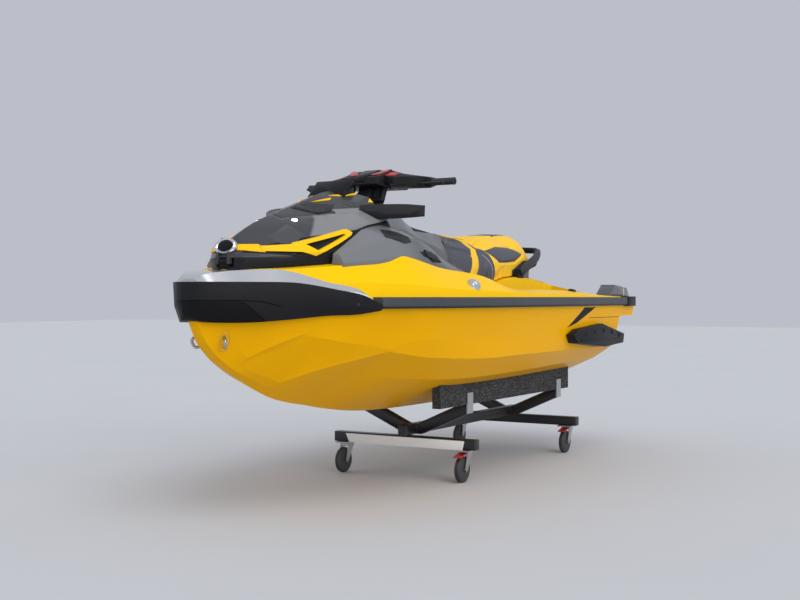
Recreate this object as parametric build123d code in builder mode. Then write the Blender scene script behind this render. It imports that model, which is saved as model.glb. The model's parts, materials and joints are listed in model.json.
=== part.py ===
"""Three-seat personal watercraft standing on its wheeled storage dolly.

Frame: +X to the bow, +Y to port, +Z up; the floor under the casters is z = 0 and
x = 0 is half-way along the craft. All sizes are millimetres.

The hull and deck are one faired body, split at the bond line. Its lines, and those of
the pieces laid over it, are drawn for a standard boat of STD_LENGTH by STD_BEAM and
are stretched to LENGTH, BEAM and DEPTH by the functions at(), out() and up().
"""

import os
from math import cos, radians, sin

from build123d import *

os.makedirs("parts", exist_ok=True)

# --- Driving dimensions: the craft ---------------------------------------------------
LENGTH = 3450.0  # front of the bow bumper to the stern
BEAM = 1255.0  # over the rub rails
DEPTH = 517.0  # keel to the bond line between hull and deck
KEEL_Z = 345.0  # keel above the floor, on the dolly
STD_LENGTH = 3450.0  # the boat that the lines were drawn for
STD_BEAM = 1255.0
STD_KEEL_Z = 345.0
STD_DEPTH = 517.0
BOND_Z = KEEL_Z + DEPTH

SEAT_GAP = 0.3  # a seated piece from the body that it can move on
RUN_GAP = 6.0  # clear of a moving piece all round

# --- Driving dimensions: fittings ----------------------------------------------------
RAIL_HEIGHT = 47.0
RAIL_DEPTH = 26.0
ENGINE_LENGTH = 520.0
ENGINE_WIDTH = 380.0
ENGINE_HEIGHT = 370.0
PUMP_BORE = 160.0
PUMP_WALL = 9.0
PUMP_LENGTH = 190.0
NOZZLE_LENGTH = 104.0
SHAFT_RADIUS = 14.0
BAR_RADIUS = 11.0
GRIP_RADIUS = 17.0
GRIP_LENGTH = 125.0
BAR_HALF_WIDTH = 405.0
FILLER_RADIUS = 32.0
FILLER_STAND = 26.0  # half the length of the filler cap
EYE_ROD = 6.0

# --- Driving dimensions: the dolly ---------------------------------------------------
TUBE = 50.0
DOLLY_HALF_WIDTH = 400.0
FRONT_AXLE_X = 95.0
REAR_AXLE_X = -1170.0
CASTER_HEIGHT = 153.0
WHEEL_RADIUS = 62.5
WHEEL_WIDTH = 32.0
CASTER_TRAIL = 35.0
CASTER_INSET = 62.0
AXLE_RADIUS = 5.0
BUNK_WIDTH = 42.0
BUNK_HEIGHT = 95.0
BUNK_FRONT_X = 300.0
BUNK_REAR_X = -1250.0
BUNK_SPREAD = 290.0


def at(x):
    """Lengthwise station of the standard boat's x."""
    return x * LENGTH / STD_LENGTH


def out(y):
    """Distance off the centre line of the standard boat's y."""
    return y * BEAM / STD_BEAM


def up(z):
    """Height of the standard boat's z: stretched below the bond line, carried above it."""
    if z < STD_KEEL_Z + STD_DEPTH:
        return KEEL_Z + (z - STD_KEEL_Z) * DEPTH / STD_DEPTH
    return z - STD_KEEL_Z - STD_DEPTH + BOND_Z


def place(x, outline):
    """The outline of a station, as points of the real craft."""
    return [Vector(at(x), out(y), up(z)) for y, z in outline]


def whole(outline):
    """A port half outline, from centre to centre, with its mirror to starboard."""
    return [*outline, *[Vector(p.X, -p.Y, p.Z) for p in reversed(outline) if p.Y > 0]]


def heading(before, here, after):
    """Direction of a smooth line at a point between two others, or at an end of it."""
    if before is None or after is None:
        ahead = after or here
        return (ahead - (before if after is None else here)).normalized()
    arriving = here - before
    leaving = after - here
    return (arriving.normalized() * leaving.length + leaving.normalized() * arriving.length).normalized()


def faired(sections, breaks=(), sharp=()):
    """Body between sections of equally many points, one smooth line through each row of points.

    Neighbouring lines are joined by ruled faces. At the sections in breaks the lines in sharp
    turn a corner, and the others run through smoothly.
    """
    lines = list(zip(*sections))
    ends = [0, *breaks, len(sections) - 1]
    faces = []
    for start, end in zip(ends, ends[1:]):
        edges = []
        for number, line in enumerate(lines):
            first, last = (start, end) if number in sharp else (0, len(line) - 1)
            headings = [
                heading(line[i - 1] if i > first else None, line[i], line[i + 1] if i < last else None)
                for i in range(start, end + 1)
            ]
            edges.append(Edge.make_spline(line[start:end + 1], tangents=headings))
        for one, two in zip(edges, [*edges[1:], edges[0]]):
            faces.append(Face.make_surface_from_curves(one, two))
    faces += [Face(Wire.make_polygon(section, close=True)) for section in (sections[0], sections[-1])]
    return Solid(Shell(faces))


def lofted(stations):
    """Body along the centre line; each outline is its port half, from centre to centre."""
    return faired([whole(place(x, outline)) for x, *outline in stations])


def lofted_pair(stations):
    """A body off to port, and its mirror to starboard."""
    with BuildPart() as body:
        add(faired([place(x, outline) for x, *outline in stations]))
        mirror(about=Plane.XZ)
    return body.part


def side_profile(points, half_width):
    """A body of the given (x, z) outline, half_width to each side of the centre line."""
    with BuildPart() as body:
        with BuildSketch(Plane.XZ):
            with BuildLine():
                Polyline(*[(at(x), up(z)) for x, z in points], close=True)
            make_face()
        extrude(amount=half_width, both=True)
    return body.part


def plan_profile(points, low, high):
    """A body of the given port-side (x, y) outline and its mirror, from low to high."""
    with BuildPart() as body:
        with BuildSketch(Plane.XY.offset(up(low))):
            with BuildLine():
                Polyline(*[(at(x), out(y)) for x, y in points], close=True)
            make_face()
        extrude(amount=up(high) - up(low))
        mirror(about=Plane.XZ)
    return body.part


def write(builder, label):
    """Labels a finished sub-part and writes it as its own STEP file."""
    builder.part.label = label
    export_step(builder.part, f"parts/{label}.step")


# --- Lines of the hull and deck ------------------------------------------------------
# Each station: x, keel z, then (y, z) of the strake, chine, knuckle and upper crease,
# the half-breadth at the bond line, (y, z) of the deck's shoulder and edge, and the
# deck's height on the centre line.
LINES = (
    (1690, 795, (16, 797), (22, 803), (26, 810), (30, 820), 40, (34, 885), (22, 925), 930),
    (1640, 712, (24, 717), (34, 735), (44, 758), (54, 788), 86, (78, 905), (56, 950), 960),
    (1560, 640, (28, 646), (44, 672), (60, 700), (80, 733), 148, (138, 915), (108, 968), 980),
    (1470, 586, (32, 594), (54, 618), (68, 629), (88, 647), 218, (205, 925), (165, 985), 1000),
    (1425, 564, (40, 575), (68, 596), (125, 656), (170, 690), 252, (238, 928), (195, 990), 1006),
    (1335, 522, (48, 540), (86, 564), (258, 732), (268, 741), 320, (304, 933), (256, 998), 1016),
    (1270, 493, (50, 513), (98, 537), (310, 722), (345, 787), 366, (350, 936), (298, 1004), 1026),
    (1200, 468, (110, 522), (240, 590), (352, 706), (396, 797), 412, (396, 940), (332, 1010), 1035),
    (1100, 444, (160, 528), (330, 622), (388, 692), (448, 805), 466, (446, 942), (370, 1020), 1050),
    (950, 418, (220, 540), (425, 659), (432, 667), (492, 806), 512, (494, 938), (410, 1040), 1066),
    (840, 398, (272, 543), (450, 643), (482, 705), (524, 807), 538, (520, 934), (435, 1057), 1075),
    (782, 389, (300, 538), (458, 634), (496, 703), (536, 807), 548, (530, 930), (440, 1050), 1075),
    (560, 362, (352, 518), (490, 616), (524, 702), (562, 808), 576, (560, 920), (450, 1015), 1050),
    (239, 348, (400, 506), (520, 603), (545, 701), (582, 808), 594, (580, 912), (490, 985), 1012),
    (-100, 345, (420, 508), (530, 605), (556, 700), (590, 808), 602, (588, 905), (500, 925), 1010),
    (-400, 345, (421, 512), (530, 605), (558, 700), (591, 808), 602, (588, 902), (500, 918), 1010),
    (-600, 345, (422, 516), (530, 605), (560, 700), (592, 808), 602, (588, 900), (500, 914), 1062),
    (-1000, 346, (420, 526), (528, 605), (558, 700), (590, 808), 597, (583, 894), (495, 908), 1040),
    (-1200, 346, (420, 530), (526, 605), (556, 700), (588, 808), 594, (580, 890), (490, 900), 985),
    (-1640, 348, (405, 540), (515, 606), (545, 700), (566, 808), 568, (556, 884), (456, 888), 930),
)
TRANSOM_X = LINES[-1][0]


def line_outline(row):
    """Outline of one half station of LINES, from the keel round to the crown."""
    x, keel, strake, chine, knuckle, upper, gunwale, shoulder, edge, crown = row
    bond = STD_KEEL_Z + STD_DEPTH
    return [(0, keel), strake, chine, knuckle, upper, (gunwale, bond), shoulder, edge, (0, crown)]


KINK_STATIONS = (1470, 1335, 1270, 950)  # where the lines from strake to upper crease turn a corner
KINKED_LINES = (1, 2, 3, 4, 12, 13, 14, 15)
core = faired(
    [whole(place(row[0], line_outline(row))) for row in LINES],
    breaks=[number for number, row in enumerate(LINES) if row[0] in KINK_STATIONS],
    sharp=KINKED_LINES,
)

# The bow bumper, from the bow aft: foot, lower facet's edge, groove line and top edge.
BUMPER = (
    (1725, (0, 814), (12, 814), (22, 860), (22, 942), (0, 942)),
    (1712, (0, 800), (34, 800), (52, 856), (54, 943), (0, 943)),
    (1685, (0, 792), (62, 792), (88, 852), (92, 943), (0, 943)),
    (1640, (0, 788), (104, 788), (132, 850), (138, 943), (0, 943)),
    (1560, (0, 788), (172, 788), (196, 852), (204, 943), (0, 943)),
    (1430, (0, 798), (268, 798), (292, 856), (302, 940), (0, 940)),
    (1300, (0, 812), (362, 812), (392, 852), (402, 914), (0, 914)),
    (1200, (0, 816), (432, 816), (458, 842), (466, 890), (0, 890)),
    (1120, (0, 830), (488, 830), (498, 838), (500, 852), (0, 852)),
)
RAIL_PLAN = ((1120, 500), (1000, 540), (700, 592), (350, 622), (0, 627.5), (-600, 625),
             (-1200, 614), (-1480, 607), (-1570, 600), (-1640, 578))
RAIL_LOW = 838
RAIL_HIGH = RAIL_LOW + RAIL_HEIGHT

# Lip of the band over the bumper: station, foot (y, z) on the bumper and top (y, z).
BAND_LIP = (
    (1708, (0, 900), (44, 900), (44, 943), (26, 955), (0, 955)),
    (1690, (0, 900), (78, 900), (78, 943), (48, 968), (0, 968)),
    (1640, (0, 900), (125, 900), (125, 943), (84, 980), (0, 980)),
    (1560, (0, 900), (186, 900), (186, 942), (134, 988), (0, 988)),
    (1430, (0, 900), (283, 900), (283, 941), (232, 990), (0, 990)),
    (1300, (0, 880), (387, 880), (387, 912), (350, 945), (0, 945)),
    (1170, (0, 870), (466, 870), (466, 886), (448, 900), (0, 900)),
    (1130, (0, 840), (488, 840), (488, 849), (478, 852), (0, 852)),
)

# The hood, from nose to rear face: foot, widest point, shoulder, ridge and crown.
HOOD = (
    (1500, (0, 960), (28, 960), (34, 1030), (28, 1040), (14, 1048), (0, 1050)),
    (1475, (0, 960), (62, 960), (70, 1038), (60, 1058), (34, 1078), (0, 1086)),
    (1440, (0, 960), (98, 960), (108, 1042), (96, 1072), (50, 1098), (0, 1122)),
    (1390, (0, 960), (146, 960), (158, 1046), (140, 1078), (76, 1110), (0, 1150)),
    (1310, (0, 960), (203, 960), (216, 1052), (190, 1084), (104, 1136), (0, 1188)),
    (1200, (0, 960), (255, 960), (268, 1062), (236, 1118), (135, 1174), (0, 1226)),
    (1100, (0, 960), (292, 960), (304, 1080), (268, 1145), (150, 1208), (0, 1252)),
    (1000, (0, 960), (300, 960), (312, 1110), (280, 1178), (165, 1240), (0, 1284)),
    (860, (0, 960), (300, 960), (310, 1150), (285, 1205), (178, 1284), (0, 1336)),
    (700, (0, 960), (280, 960), (290, 1180), (260, 1230), (165, 1330), (0, 1374)),
)
HOOD_REAR_X = HOOD[-1][0]
# Where the lid parts from the fixed base under it, and the cowl from the lid (x, z).
LID_LINE = ((1700, 1040), (1340, 1040), (1110, 1133), (900, 1190), (600, 1240))
COWL_LINE = ((1190, 1212), (1000, 1236), (600, 1262))
HINGE_X = 1500
HINGE_Z = 1026
HINGE_RADIUS = 6.0
BEARING_PLAY = 0.05

BIN_FRONT_X = 1330
BIN_REAR_X = 820
BIN_HALF_WIDTH = 165
BIN_FLOOR_Z = 640

FOOTWELL_FRONT_X = 150
FOOTWELL_REAR_X = -1120
FOOTWELL_FLOOR_Z = 770
FOOTWELL_INNER_Y = 262
FOOTWELL_OUTER_Y = 470
MAT_THICKNESS = 5.0

# Line that the seats stand on, from front to rear (x, z).
SEAT_LINE = ((-40, 950), (-330, 938), (-560, 985), (-760, 1000), (-1006, 962))
SEAT_FRONT_X = -40
SEAT_SPLIT_X = -350
SEAT_REAR_X = -1000
PLATFORM_FRONT_X = -1250
PLATFORM_Z = 884
PLATFORM_HALF_WIDTH = 430

ENGINE_FRONT_X = -40
ENGINE_FLOOR_Z = 455
BAY_CLEARANCE = 20.0

HULL_END_X = -1400  # transom, under the overhang of the stern deck
OVERHANG_Z = 778
PUMP_X = -1330  # front face of the pump, on the tunnel's bulkhead
PUMP_AXIS_Z = 500
TUNNEL_HALF_WIDTH = 150
TUNNEL_ROOF_Z = 640
RIDE_PLATE_THICKNESS = 8.0


def block(x_low, x_high, y_low, y_high, z_low, z_high):
    """Plain box between two corners of the standard boat."""
    with BuildPart() as body:
        with BuildSketch(Plane.XY.offset(up(z_low))):
            with Locations((at(x_low), out(y_low))):
                Rectangle(at(x_high) - at(x_low), out(y_high) - out(y_low), align=Align.MIN)
        extrude(amount=up(z_high) - up(z_low))
    return body.part


def pair(body):
    """A body to port with its mirror to starboard."""
    with BuildPart() as both:
        add(body)
        mirror(about=Plane.XZ)
    return both.part


def rod(start, end, radius):
    """Round bar from point to point, in real millimetres."""
    path = Vector(*end) - Vector(*start)
    with BuildPart() as body:
        with BuildSketch(Plane(origin=start, z_dir=path)):
            Circle(radius)
        extrude(amount=path.length)
    return body.part


# --- Cavities shared by hull, deck and hood ------------------------------------------
bin_cavity = block(BIN_REAR_X, BIN_FRONT_X, -BIN_HALF_WIDTH, BIN_HALF_WIDTH, BIN_FLOOR_Z, 1300)
footwells = pair(
    block(FOOTWELL_REAR_X, FOOTWELL_FRONT_X, FOOTWELL_INNER_Y, FOOTWELL_OUTER_Y, FOOTWELL_FLOOR_Z, 1200)
)

# --- Hull ----------------------------------------------------------------------------
BOW_EYE = Vector(at(1575), out(66), up(713))
BOW_EYE_OUT = Vector(0.62, 0.6, -0.5).normalized()
BOW_EYE_ALONG = Vector(0.45, 0.25, 0.86)
BOW_EYE_SPREAD = 20.0
bow_eye_up = (BOW_EYE_ALONG - BOW_EYE_OUT * BOW_EYE_ALONG.dot(BOW_EYE_OUT)).normalized()
SEAT_ROOM = (*SEAT_LINE, (SEAT_LINE[-1][0], 1300), (SEAT_LINE[0][0], 1300))
seat_room = side_profile(SEAT_ROOM, out(FOOTWELL_INNER_Y))
engine_rear_x = at(ENGINE_FRONT_X) - ENGINE_LENGTH
with BuildPart() as hull:
    add(core)
    split(bisect_by=Plane.XY.offset(BOND_Z), keep=Keep.BOTTOM)
    add(bin_cavity, mode=Mode.SUBTRACT)
    add(footwells, mode=Mode.SUBTRACT)
    with BuildSketch(Plane.XY.offset(up(ENGINE_FLOOR_Z))):
        with Locations((at(ENGINE_FRONT_X) - ENGINE_LENGTH / 2, 0)):
            Rectangle(ENGINE_LENGTH + 2 * BAY_CLEARANCE, ENGINE_WIDTH + 2 * BAY_CLEARANCE)
    extrude(amount=BOND_Z - up(ENGINE_FLOOR_Z), mode=Mode.SUBTRACT)
    add(block(-1800, HULL_END_X, -700, 700, 300, OVERHANG_Z), mode=Mode.SUBTRACT)
    add(block(-1800, PUMP_X, -TUNNEL_HALF_WIDTH, TUNNEL_HALF_WIDTH, 300, TUNNEL_ROOF_Z), mode=Mode.SUBTRACT)
    add(
        side_profile(((-900, 300), (-1100, 400), (PUMP_X, PUMP_AXIS_Z + 72), (PUMP_X, PUMP_AXIS_Z - 72),
                      (-1270, 300)), 72),
        mode=Mode.SUBTRACT,
    )
    shaft_start = (engine_rear_x - BAY_CLEARANCE, 0, up(PUMP_AXIS_Z))
    add(rod(shaft_start, (at(PUMP_X), 0, up(PUMP_AXIS_Z)), SHAFT_RADIUS + BEARING_PLAY), mode=Mode.SUBTRACT)
write(hull, "hull")

# --- Deck ----------------------------------------------------------------------------
with BuildPart() as deck:
    add(core)
    split(bisect_by=Plane.XY.offset(BOND_Z), keep=Keep.TOP)
    add(bin_cavity, mode=Mode.SUBTRACT)
    add(footwells, mode=Mode.SUBTRACT)
    add(seat_room, mode=Mode.SUBTRACT)
    add(
        block(-1700, PLATFORM_FRONT_X, -PLATFORM_HALF_WIDTH, PLATFORM_HALF_WIDTH, PLATFORM_Z, 1200),
        mode=Mode.SUBTRACT,
    )
write(deck, "deck")

# --- Bow bumper, the band over it, rub rails, stern guard, sponsons -------------------
with BuildPart() as bumper:
    add(lofted(BUMPER))
    add(core, mode=Mode.SUBTRACT)
write(bumper, "bow_bumper")

with BuildPart() as band:
    add(lofted(BAND_LIP))
    add(core, mode=Mode.SUBTRACT)
    add(bumper.part, mode=Mode.SUBTRACT)
write(band, "bow_band")

rail_inner = [(x, y - RAIL_DEPTH - 40) for x, y in reversed(RAIL_PLAN)]
with BuildPart() as rails:
    add(plan_profile([*RAIL_PLAN, *rail_inner], RAIL_LOW, RAIL_HIGH))
    add(core, mode=Mode.SUBTRACT)
write(rails, "rub_rails")

STERN_PLAN = ((TRANSOM_X, 0), (TRANSOM_X, 580), (-1672, 562), (-1704, 515), (-1725, 300), (-1725, 0))
with BuildPart() as stern_guard:
    add(plan_profile(STERN_PLAN, RAIL_LOW - 6, PLATFORM_Z))
write(stern_guard, "stern_guard")

SPONSON_SIDE = ((-620, 688), (-690, 716), (-1040, 740), (-1390, 676), (-1375, 624), (-1090, 610),
                (-690, 642))
SPONSON_OUTER_Y = 602
with BuildPart() as sponsons:
    add(side_profile(SPONSON_SIDE, out(SPONSON_OUTER_Y)))
    add(block(-1500, -600, -480, 480, 500, 800), mode=Mode.SUBTRACT)
    add(core, mode=Mode.SUBTRACT)
write(sponsons, "sponsons")

# --- Hood: fixed base, lid with its cowl, lights, trims and badge ----------------------
def above(line, gap):
    """Side outline of all that is more than gap above a line of (x, z) points."""
    return [*[(x, z + gap) for x, z in line], (line[-1][0], 1700), (line[0][0], 1700)]


def below(line):
    """Side outline of all that is below a line of (x, z) points."""
    return [*line, (line[-1][0], 700), (line[0][0], 700)]


def grown(stations, gap):
    """The stations with each outline point moved outwards by gap."""
    return [
        (x, *[(y + gap if y > 0 else 0, z + gap if z > 1000 else z) for y, z in outline])
        for x, *outline in stations
    ]


EAR_INNER_Y = 21
EAR_OUTER_Y = 31
BARREL_Y = 20.5
hood_body = lofted(HOOD)
over_lid_line = side_profile(above(LID_LINE, SEAT_GAP), BEAM / 2)
cowl_region = side_profile(above(COWL_LINE, 0), BEAM / 2)
hinge_well = block(HINGE_X - 26, HINGE_X + 40, -40, 40, HINGE_Z - 24, LID_LINE[0][1])
nose_relief = block(HINGE_X - 8, HINGE_X + 40, -64, 64, HINGE_Z - 24, LID_LINE[0][1])

with BuildPart() as hood_base:
    add(hood_body)
    add(side_profile(below(LID_LINE), BEAM / 2), mode=Mode.INTERSECT)
    add(core, mode=Mode.SUBTRACT)
    add(band.part, mode=Mode.SUBTRACT)
    add(bin_cavity, mode=Mode.SUBTRACT)
    add(hinge_well, mode=Mode.SUBTRACT)
    add(nose_relief, mode=Mode.SUBTRACT)
    add(block(HINGE_X - 26, HINGE_X + 4, -BARREL_Y, BARREL_Y, HINGE_Z - 24, HINGE_Z))
    add(rod((at(HINGE_X), -out(BARREL_Y), up(HINGE_Z)), (at(HINGE_X), out(BARREL_Y), up(HINGE_Z)), 11))
    add(
        rod((at(HINGE_X), -60, up(HINGE_Z)), (at(HINGE_X), 60, up(HINGE_Z)), HINGE_RADIUS + BEARING_PLAY),
        mode=Mode.SUBTRACT,
    )
write(hood_base, "hood_base")

light_region = pair(block(1215, 1330, 96, 186, 1098, 1200))
with BuildPart() as hood_lid:
    add(hood_body)
    add(over_lid_line, mode=Mode.INTERSECT)
    add(cowl_region, mode=Mode.SUBTRACT)
    add(light_region, mode=Mode.SUBTRACT)
    add(pair(block(HINGE_X - 12, HINGE_X + 10, EAR_INNER_Y, EAR_OUTER_Y, HINGE_Z - 12, 1060)))
    pin_end = (at(HINGE_X), out(EAR_OUTER_Y), up(HINGE_Z))
    add(rod((pin_end[0], -pin_end[1], pin_end[2]), pin_end, HINGE_RADIUS))
write(hood_lid, "hood_lid")

with BuildPart() as hood_cowl:
    add(hood_body)
    add(cowl_region, mode=Mode.INTERSECT)
write(hood_cowl, "hood_cowl")

with BuildPart() as headlights:
    add(hood_body)
    add(light_region, mode=Mode.INTERSECT)
    add(cowl_region, mode=Mode.SUBTRACT)
write(headlights, "headlights")

TRIM_OUTER = ((1420, 1087), (1300, 1097), (1288, 1104), (1055, 1166), (1030, 1153), (1042, 1141),
              (1238, 1050), (1290, 1065), (1420, 1066))
TRIM_INNER = ((1262, 1097), (1076, 1146), (1072, 1140), (1224, 1071))
TRIM_STAND = 7
with BuildPart() as hood_trims:
    add(lofted(grown(HOOD, TRIM_STAND)))
    add(side_profile(TRIM_OUTER, BEAM / 2), mode=Mode.INTERSECT)
    add(side_profile(TRIM_INNER, BEAM / 2), mode=Mode.SUBTRACT)
    add(block(900, 1600, -50, 50, 1000, 1300), mode=Mode.SUBTRACT)
    add(hood_body, mode=Mode.SUBTRACT)
write(hood_trims, "hood_trims")

BADGE_HALF_WIDTH = 44
BADGE_HALF_HEIGHT = 24
BADGE_PLANE = Plane(origin=(at(1440), 0, up(1068)), x_dir=(0, 1, 0), z_dir=(0.94, 0, 0.342))
with BuildPart() as badge:
    with BuildSketch(BADGE_PLANE):
        Ellipse(BADGE_HALF_WIDTH, BADGE_HALF_HEIGHT)
    extrude(amount=52)
    add(hood_body, mode=Mode.SUBTRACT)
write(badge, "nose_badge")

# --- Panels beside the hood, console and glove box ------------------------------------
CONSOLE = (
    (690, (0, 960), (240, 960), (245, 1200), (180, 1300), (0, 1335)),
    (560, (0, 960), (215, 960), (220, 1200), (165, 1290), (0, 1320)),
    (430, (0, 960), (200, 960), (205, 1190), (150, 1275), (0, 1305)),
    (300, (0, 960), (190, 960), (195, 1160), (140, 1225), (0, 1245)),
    (120, (0, 960), (180, 960), (185, 1130), (130, 1205), (0, 1222)),
    (SEAT_FRONT_X, (0, 960), (170, 960), (172, 1100), (120, 1190), (0, 1210)),
)
SIDE_PANEL = (
    (1180, (290, 1000), (346, 1000), (352, 1022), (330, 1056), (300, 1060)),
    (1000, (290, 1000), (405, 1000), (410, 1040), (372, 1105), (300, 1150)),
    (822, (250, 1000), (432, 1000), (436, 1057), (396, 1140), (250, 1212)),
    (690, (200, 1000), (440, 1000), (445, 1036), (400, 1140), (200, 1225)),
    (560, (180, 980), (438, 980), (444, 1018), (380, 1120), (180, 1220)),
    (400, (160, 980), (438, 980), (444, 1000), (340, 1090), (160, 1200)),
    (200, (150, 960), (430, 960), (434, 980), (300, 1050), (150, 1160)),
)
STEER_X = 470  # foot of the steering column
STEER_Z = 1310
STEER_RAKE = 25.0  # of the column, aft of upright
SLEEVE_RADIUS = 32.0
STEM_RADIUS = 14.0
SLEEVE_RISE = 20.0  # foot of the sleeve above the foot of the column
STEM_DEPTH = 60.0
steer_axis = (-sin(radians(STEER_RAKE)), 0, cos(radians(STEER_RAKE)))


def along_column(distance, ahead=0.0, aside=0.0):
    """Point at a distance up the steering column, ahead of it and to port of it."""
    rise = Vector(*steer_axis) * distance
    across = Vector(cos(radians(STEER_RAKE)), 0, sin(radians(STEER_RAKE))) * ahead
    return Vector(at(STEER_X), aside, up(STEER_Z)) + rise + across


GLOVE_FRONT_X = 240
GLOVE_REAR_X = 20
GLOVE_HALF_WIDTH = 95
GLOVE_FLOOR_Z = 1060
GLOVE_SEAT_Z = 1198  # what the glove box lid closes on
GLOVE_HINGE_X = 268
GLOVE_HINGE_Z = 1234
GLOVE_KNUCKLE_RADIUS = 6.0
GLOVE_PIN_RADIUS = 3.0
GLOVE_KNUCKLE_Y = 40
LID_SIDE_GAP = 14
with BuildPart() as lid_room:
    room = [(x, outline[2][0] + LID_SIDE_GAP) for x, *outline in (*HOOD, (HOOD_REAR_X - 8, *HOOD[-1][1:]))]
    add(lofted([(x, (0, 1000), (y, 1000), (y, 1600), (0, 1600)) for x, y in room]))
    add(side_profile(above(LID_LINE, -RUN_GAP), BEAM / 2), mode=Mode.INTERSECT)
glove_cavity = block(GLOVE_REAR_X, GLOVE_FRONT_X, -GLOVE_HALF_WIDTH, GLOVE_HALF_WIDTH, GLOVE_FLOOR_Z, 1400)
with BuildPart() as console:
    add(lofted(CONSOLE))
    add(core, mode=Mode.SUBTRACT)
    add(glove_cavity, mode=Mode.SUBTRACT)
    add(block(GLOVE_REAR_X - 12, GLOVE_HINGE_X + 8, -200, 200, GLOVE_SEAT_Z, 1400), mode=Mode.SUBTRACT)
    add(pair(block(GLOVE_HINGE_X - 4, GLOVE_HINGE_X + 8, GLOVE_KNUCKLE_Y + 0.5, GLOVE_KNUCKLE_Y + 20,
                   GLOVE_HINGE_Z - 6, GLOVE_HINGE_Z + 4)))
    add(rod((at(GLOVE_HINGE_X), -50, up(GLOVE_HINGE_Z)), (at(GLOVE_HINGE_X), 50, up(GLOVE_HINGE_Z)),
            GLOVE_PIN_RADIUS))
    add(rod(along_column(-STEM_DEPTH - 1), along_column(40), STEM_RADIUS + BEARING_PLAY), mode=Mode.SUBTRACT)
write(console, "console")

with BuildPart() as side_panels:
    add(lofted_pair(SIDE_PANEL))
    add(core, mode=Mode.SUBTRACT)
    add(console.part, mode=Mode.SUBTRACT)
    add(lid_room.part, mode=Mode.SUBTRACT)
    add(hood_base.part, mode=Mode.SUBTRACT)
write(side_panels, "side_panels")

with BuildPart() as glove_lid:
    add(lofted(CONSOLE))
    add(
        block(GLOVE_REAR_X - 8, GLOVE_HINGE_X - 6, -220, 220, GLOVE_SEAT_Z + SEAT_GAP, 1400),
        mode=Mode.INTERSECT,
    )
    add(block(GLOVE_HINGE_X - 10, GLOVE_HINGE_X, -GLOVE_KNUCKLE_Y, GLOVE_KNUCKLE_Y,
              GLOVE_HINGE_Z - 5, GLOVE_HINGE_Z + 3))
    add(rod((at(GLOVE_HINGE_X), -out(GLOVE_KNUCKLE_Y), up(GLOVE_HINGE_Z)),
            (at(GLOVE_HINGE_X), out(GLOVE_KNUCKLE_Y), up(GLOVE_HINGE_Z)), GLOVE_KNUCKLE_RADIUS))
    add(
        rod((at(GLOVE_HINGE_X), -60, up(GLOVE_HINGE_Z)), (at(GLOVE_HINGE_X), 60, up(GLOVE_HINGE_Z)),
            GLOVE_PIN_RADIUS + BEARING_PLAY),
        mode=Mode.SUBTRACT,
    )
write(glove_lid, "glove_lid")

# --- Mirrors, gauge -------------------------------------------------------------------
MIRROR = (
    (900, (250, 1224), (330, 1238), (334, 1260), (250, 1262)),
    (845, (200, 1222), (398, 1230), (408, 1278), (200, 1282)),
    (720, (200, 1225), (425, 1230), (432, 1288), (200, 1290)),
    (655, (330, 1232), (428, 1236), (430, 1284), (330, 1286)),
)
with BuildPart() as mirrors:
    add(lofted_pair(MIRROR))
    add(hood_body, mode=Mode.SUBTRACT)
write(mirrors, "mirrors")

with BuildPart() as mirror_glass:
    add(pair(block(652, 655, 340, 420, 1240, 1280)))
write(mirror_glass, "mirror_glass")

GAUGE_SIDE = ((800, 1330), (720, 1408), (704, 1400), (704, 1330))
with BuildPart() as gauge:
    add(side_profile(GAUGE_SIDE, out(95)))
    add(hood_body, mode=Mode.SUBTRACT)
write(gauge, "gauge")

# --- Steering -------------------------------------------------------------------------
BAR_X = 330
BAR_Z = 1420
NECK_Y = 88.0  # each post of the steering neck from the centre line
POST_RADIUS = 14.0
PAD_HALF_WIDTH = 105.0
PAD_SIDE = ((530, 1404), (505, 1440), (400, 1480), (262, 1474), (225, 1440), (240, 1398), (400, 1392))
with BuildPart() as sleeve:
    add(rod(along_column(SLEEVE_RISE), along_column(92), SLEEVE_RADIUS))
    add(rod(along_column(-STEM_DEPTH), along_column(SLEEVE_RISE + 1), STEM_RADIUS))
    add(pair(rod(along_column(SLEEVE_RISE, 0, NECK_Y), along_column(112, 0, NECK_Y), POST_RADIUS)))
    crossbar_rise = SLEEVE_RISE + 10
    add(rod(along_column(crossbar_rise, 0, -NECK_Y), along_column(crossbar_rise, 0, NECK_Y), POST_RADIUS))
    add(side_profile(PAD_SIDE, PAD_HALF_WIDTH), mode=Mode.SUBTRACT)
write(sleeve, "steering_sleeve")

with BuildPart() as pad:
    add(side_profile(PAD_SIDE, PAD_HALF_WIDTH))
write(pad, "handlebar_pad")

bar_left = (at(BAR_X), out(BAR_HALF_WIDTH), up(BAR_Z))
bar_right = (at(BAR_X), -out(BAR_HALF_WIDTH), up(BAR_Z))
with BuildPart() as bar:
    add(rod(bar_left, bar_right, BAR_RADIUS))
    add(pad.part, mode=Mode.SUBTRACT)
write(bar, "handlebar")

with BuildPart() as grips:
    add(rod(bar_left, (at(BAR_X), out(BAR_HALF_WIDTH) - GRIP_LENGTH, up(BAR_Z)), GRIP_RADIUS))
    mirror(about=Plane.XZ)
    add(bar.part, mode=Mode.SUBTRACT)
write(grips, "grips")

HAND_COVER = (
    (460, (90, 1412), (150, 1408), (150, 1438), (90, 1450)),
    (400, (90, 1396), (225, 1396), (232, 1444), (90, 1472)),
    (310, (90, 1398), (268, 1396), (274, 1444), (90, 1470)),
    (272, (90, 1408), (262, 1406), (264, 1440), (90, 1458)),
)
with BuildPart() as covers:
    add(lofted_pair(HAND_COVER))
    add(pad.part, mode=Mode.SUBTRACT)
    add(rod(bar_left, bar_right, BAR_RADIUS), mode=Mode.SUBTRACT)
write(covers, "hand_covers")

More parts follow.
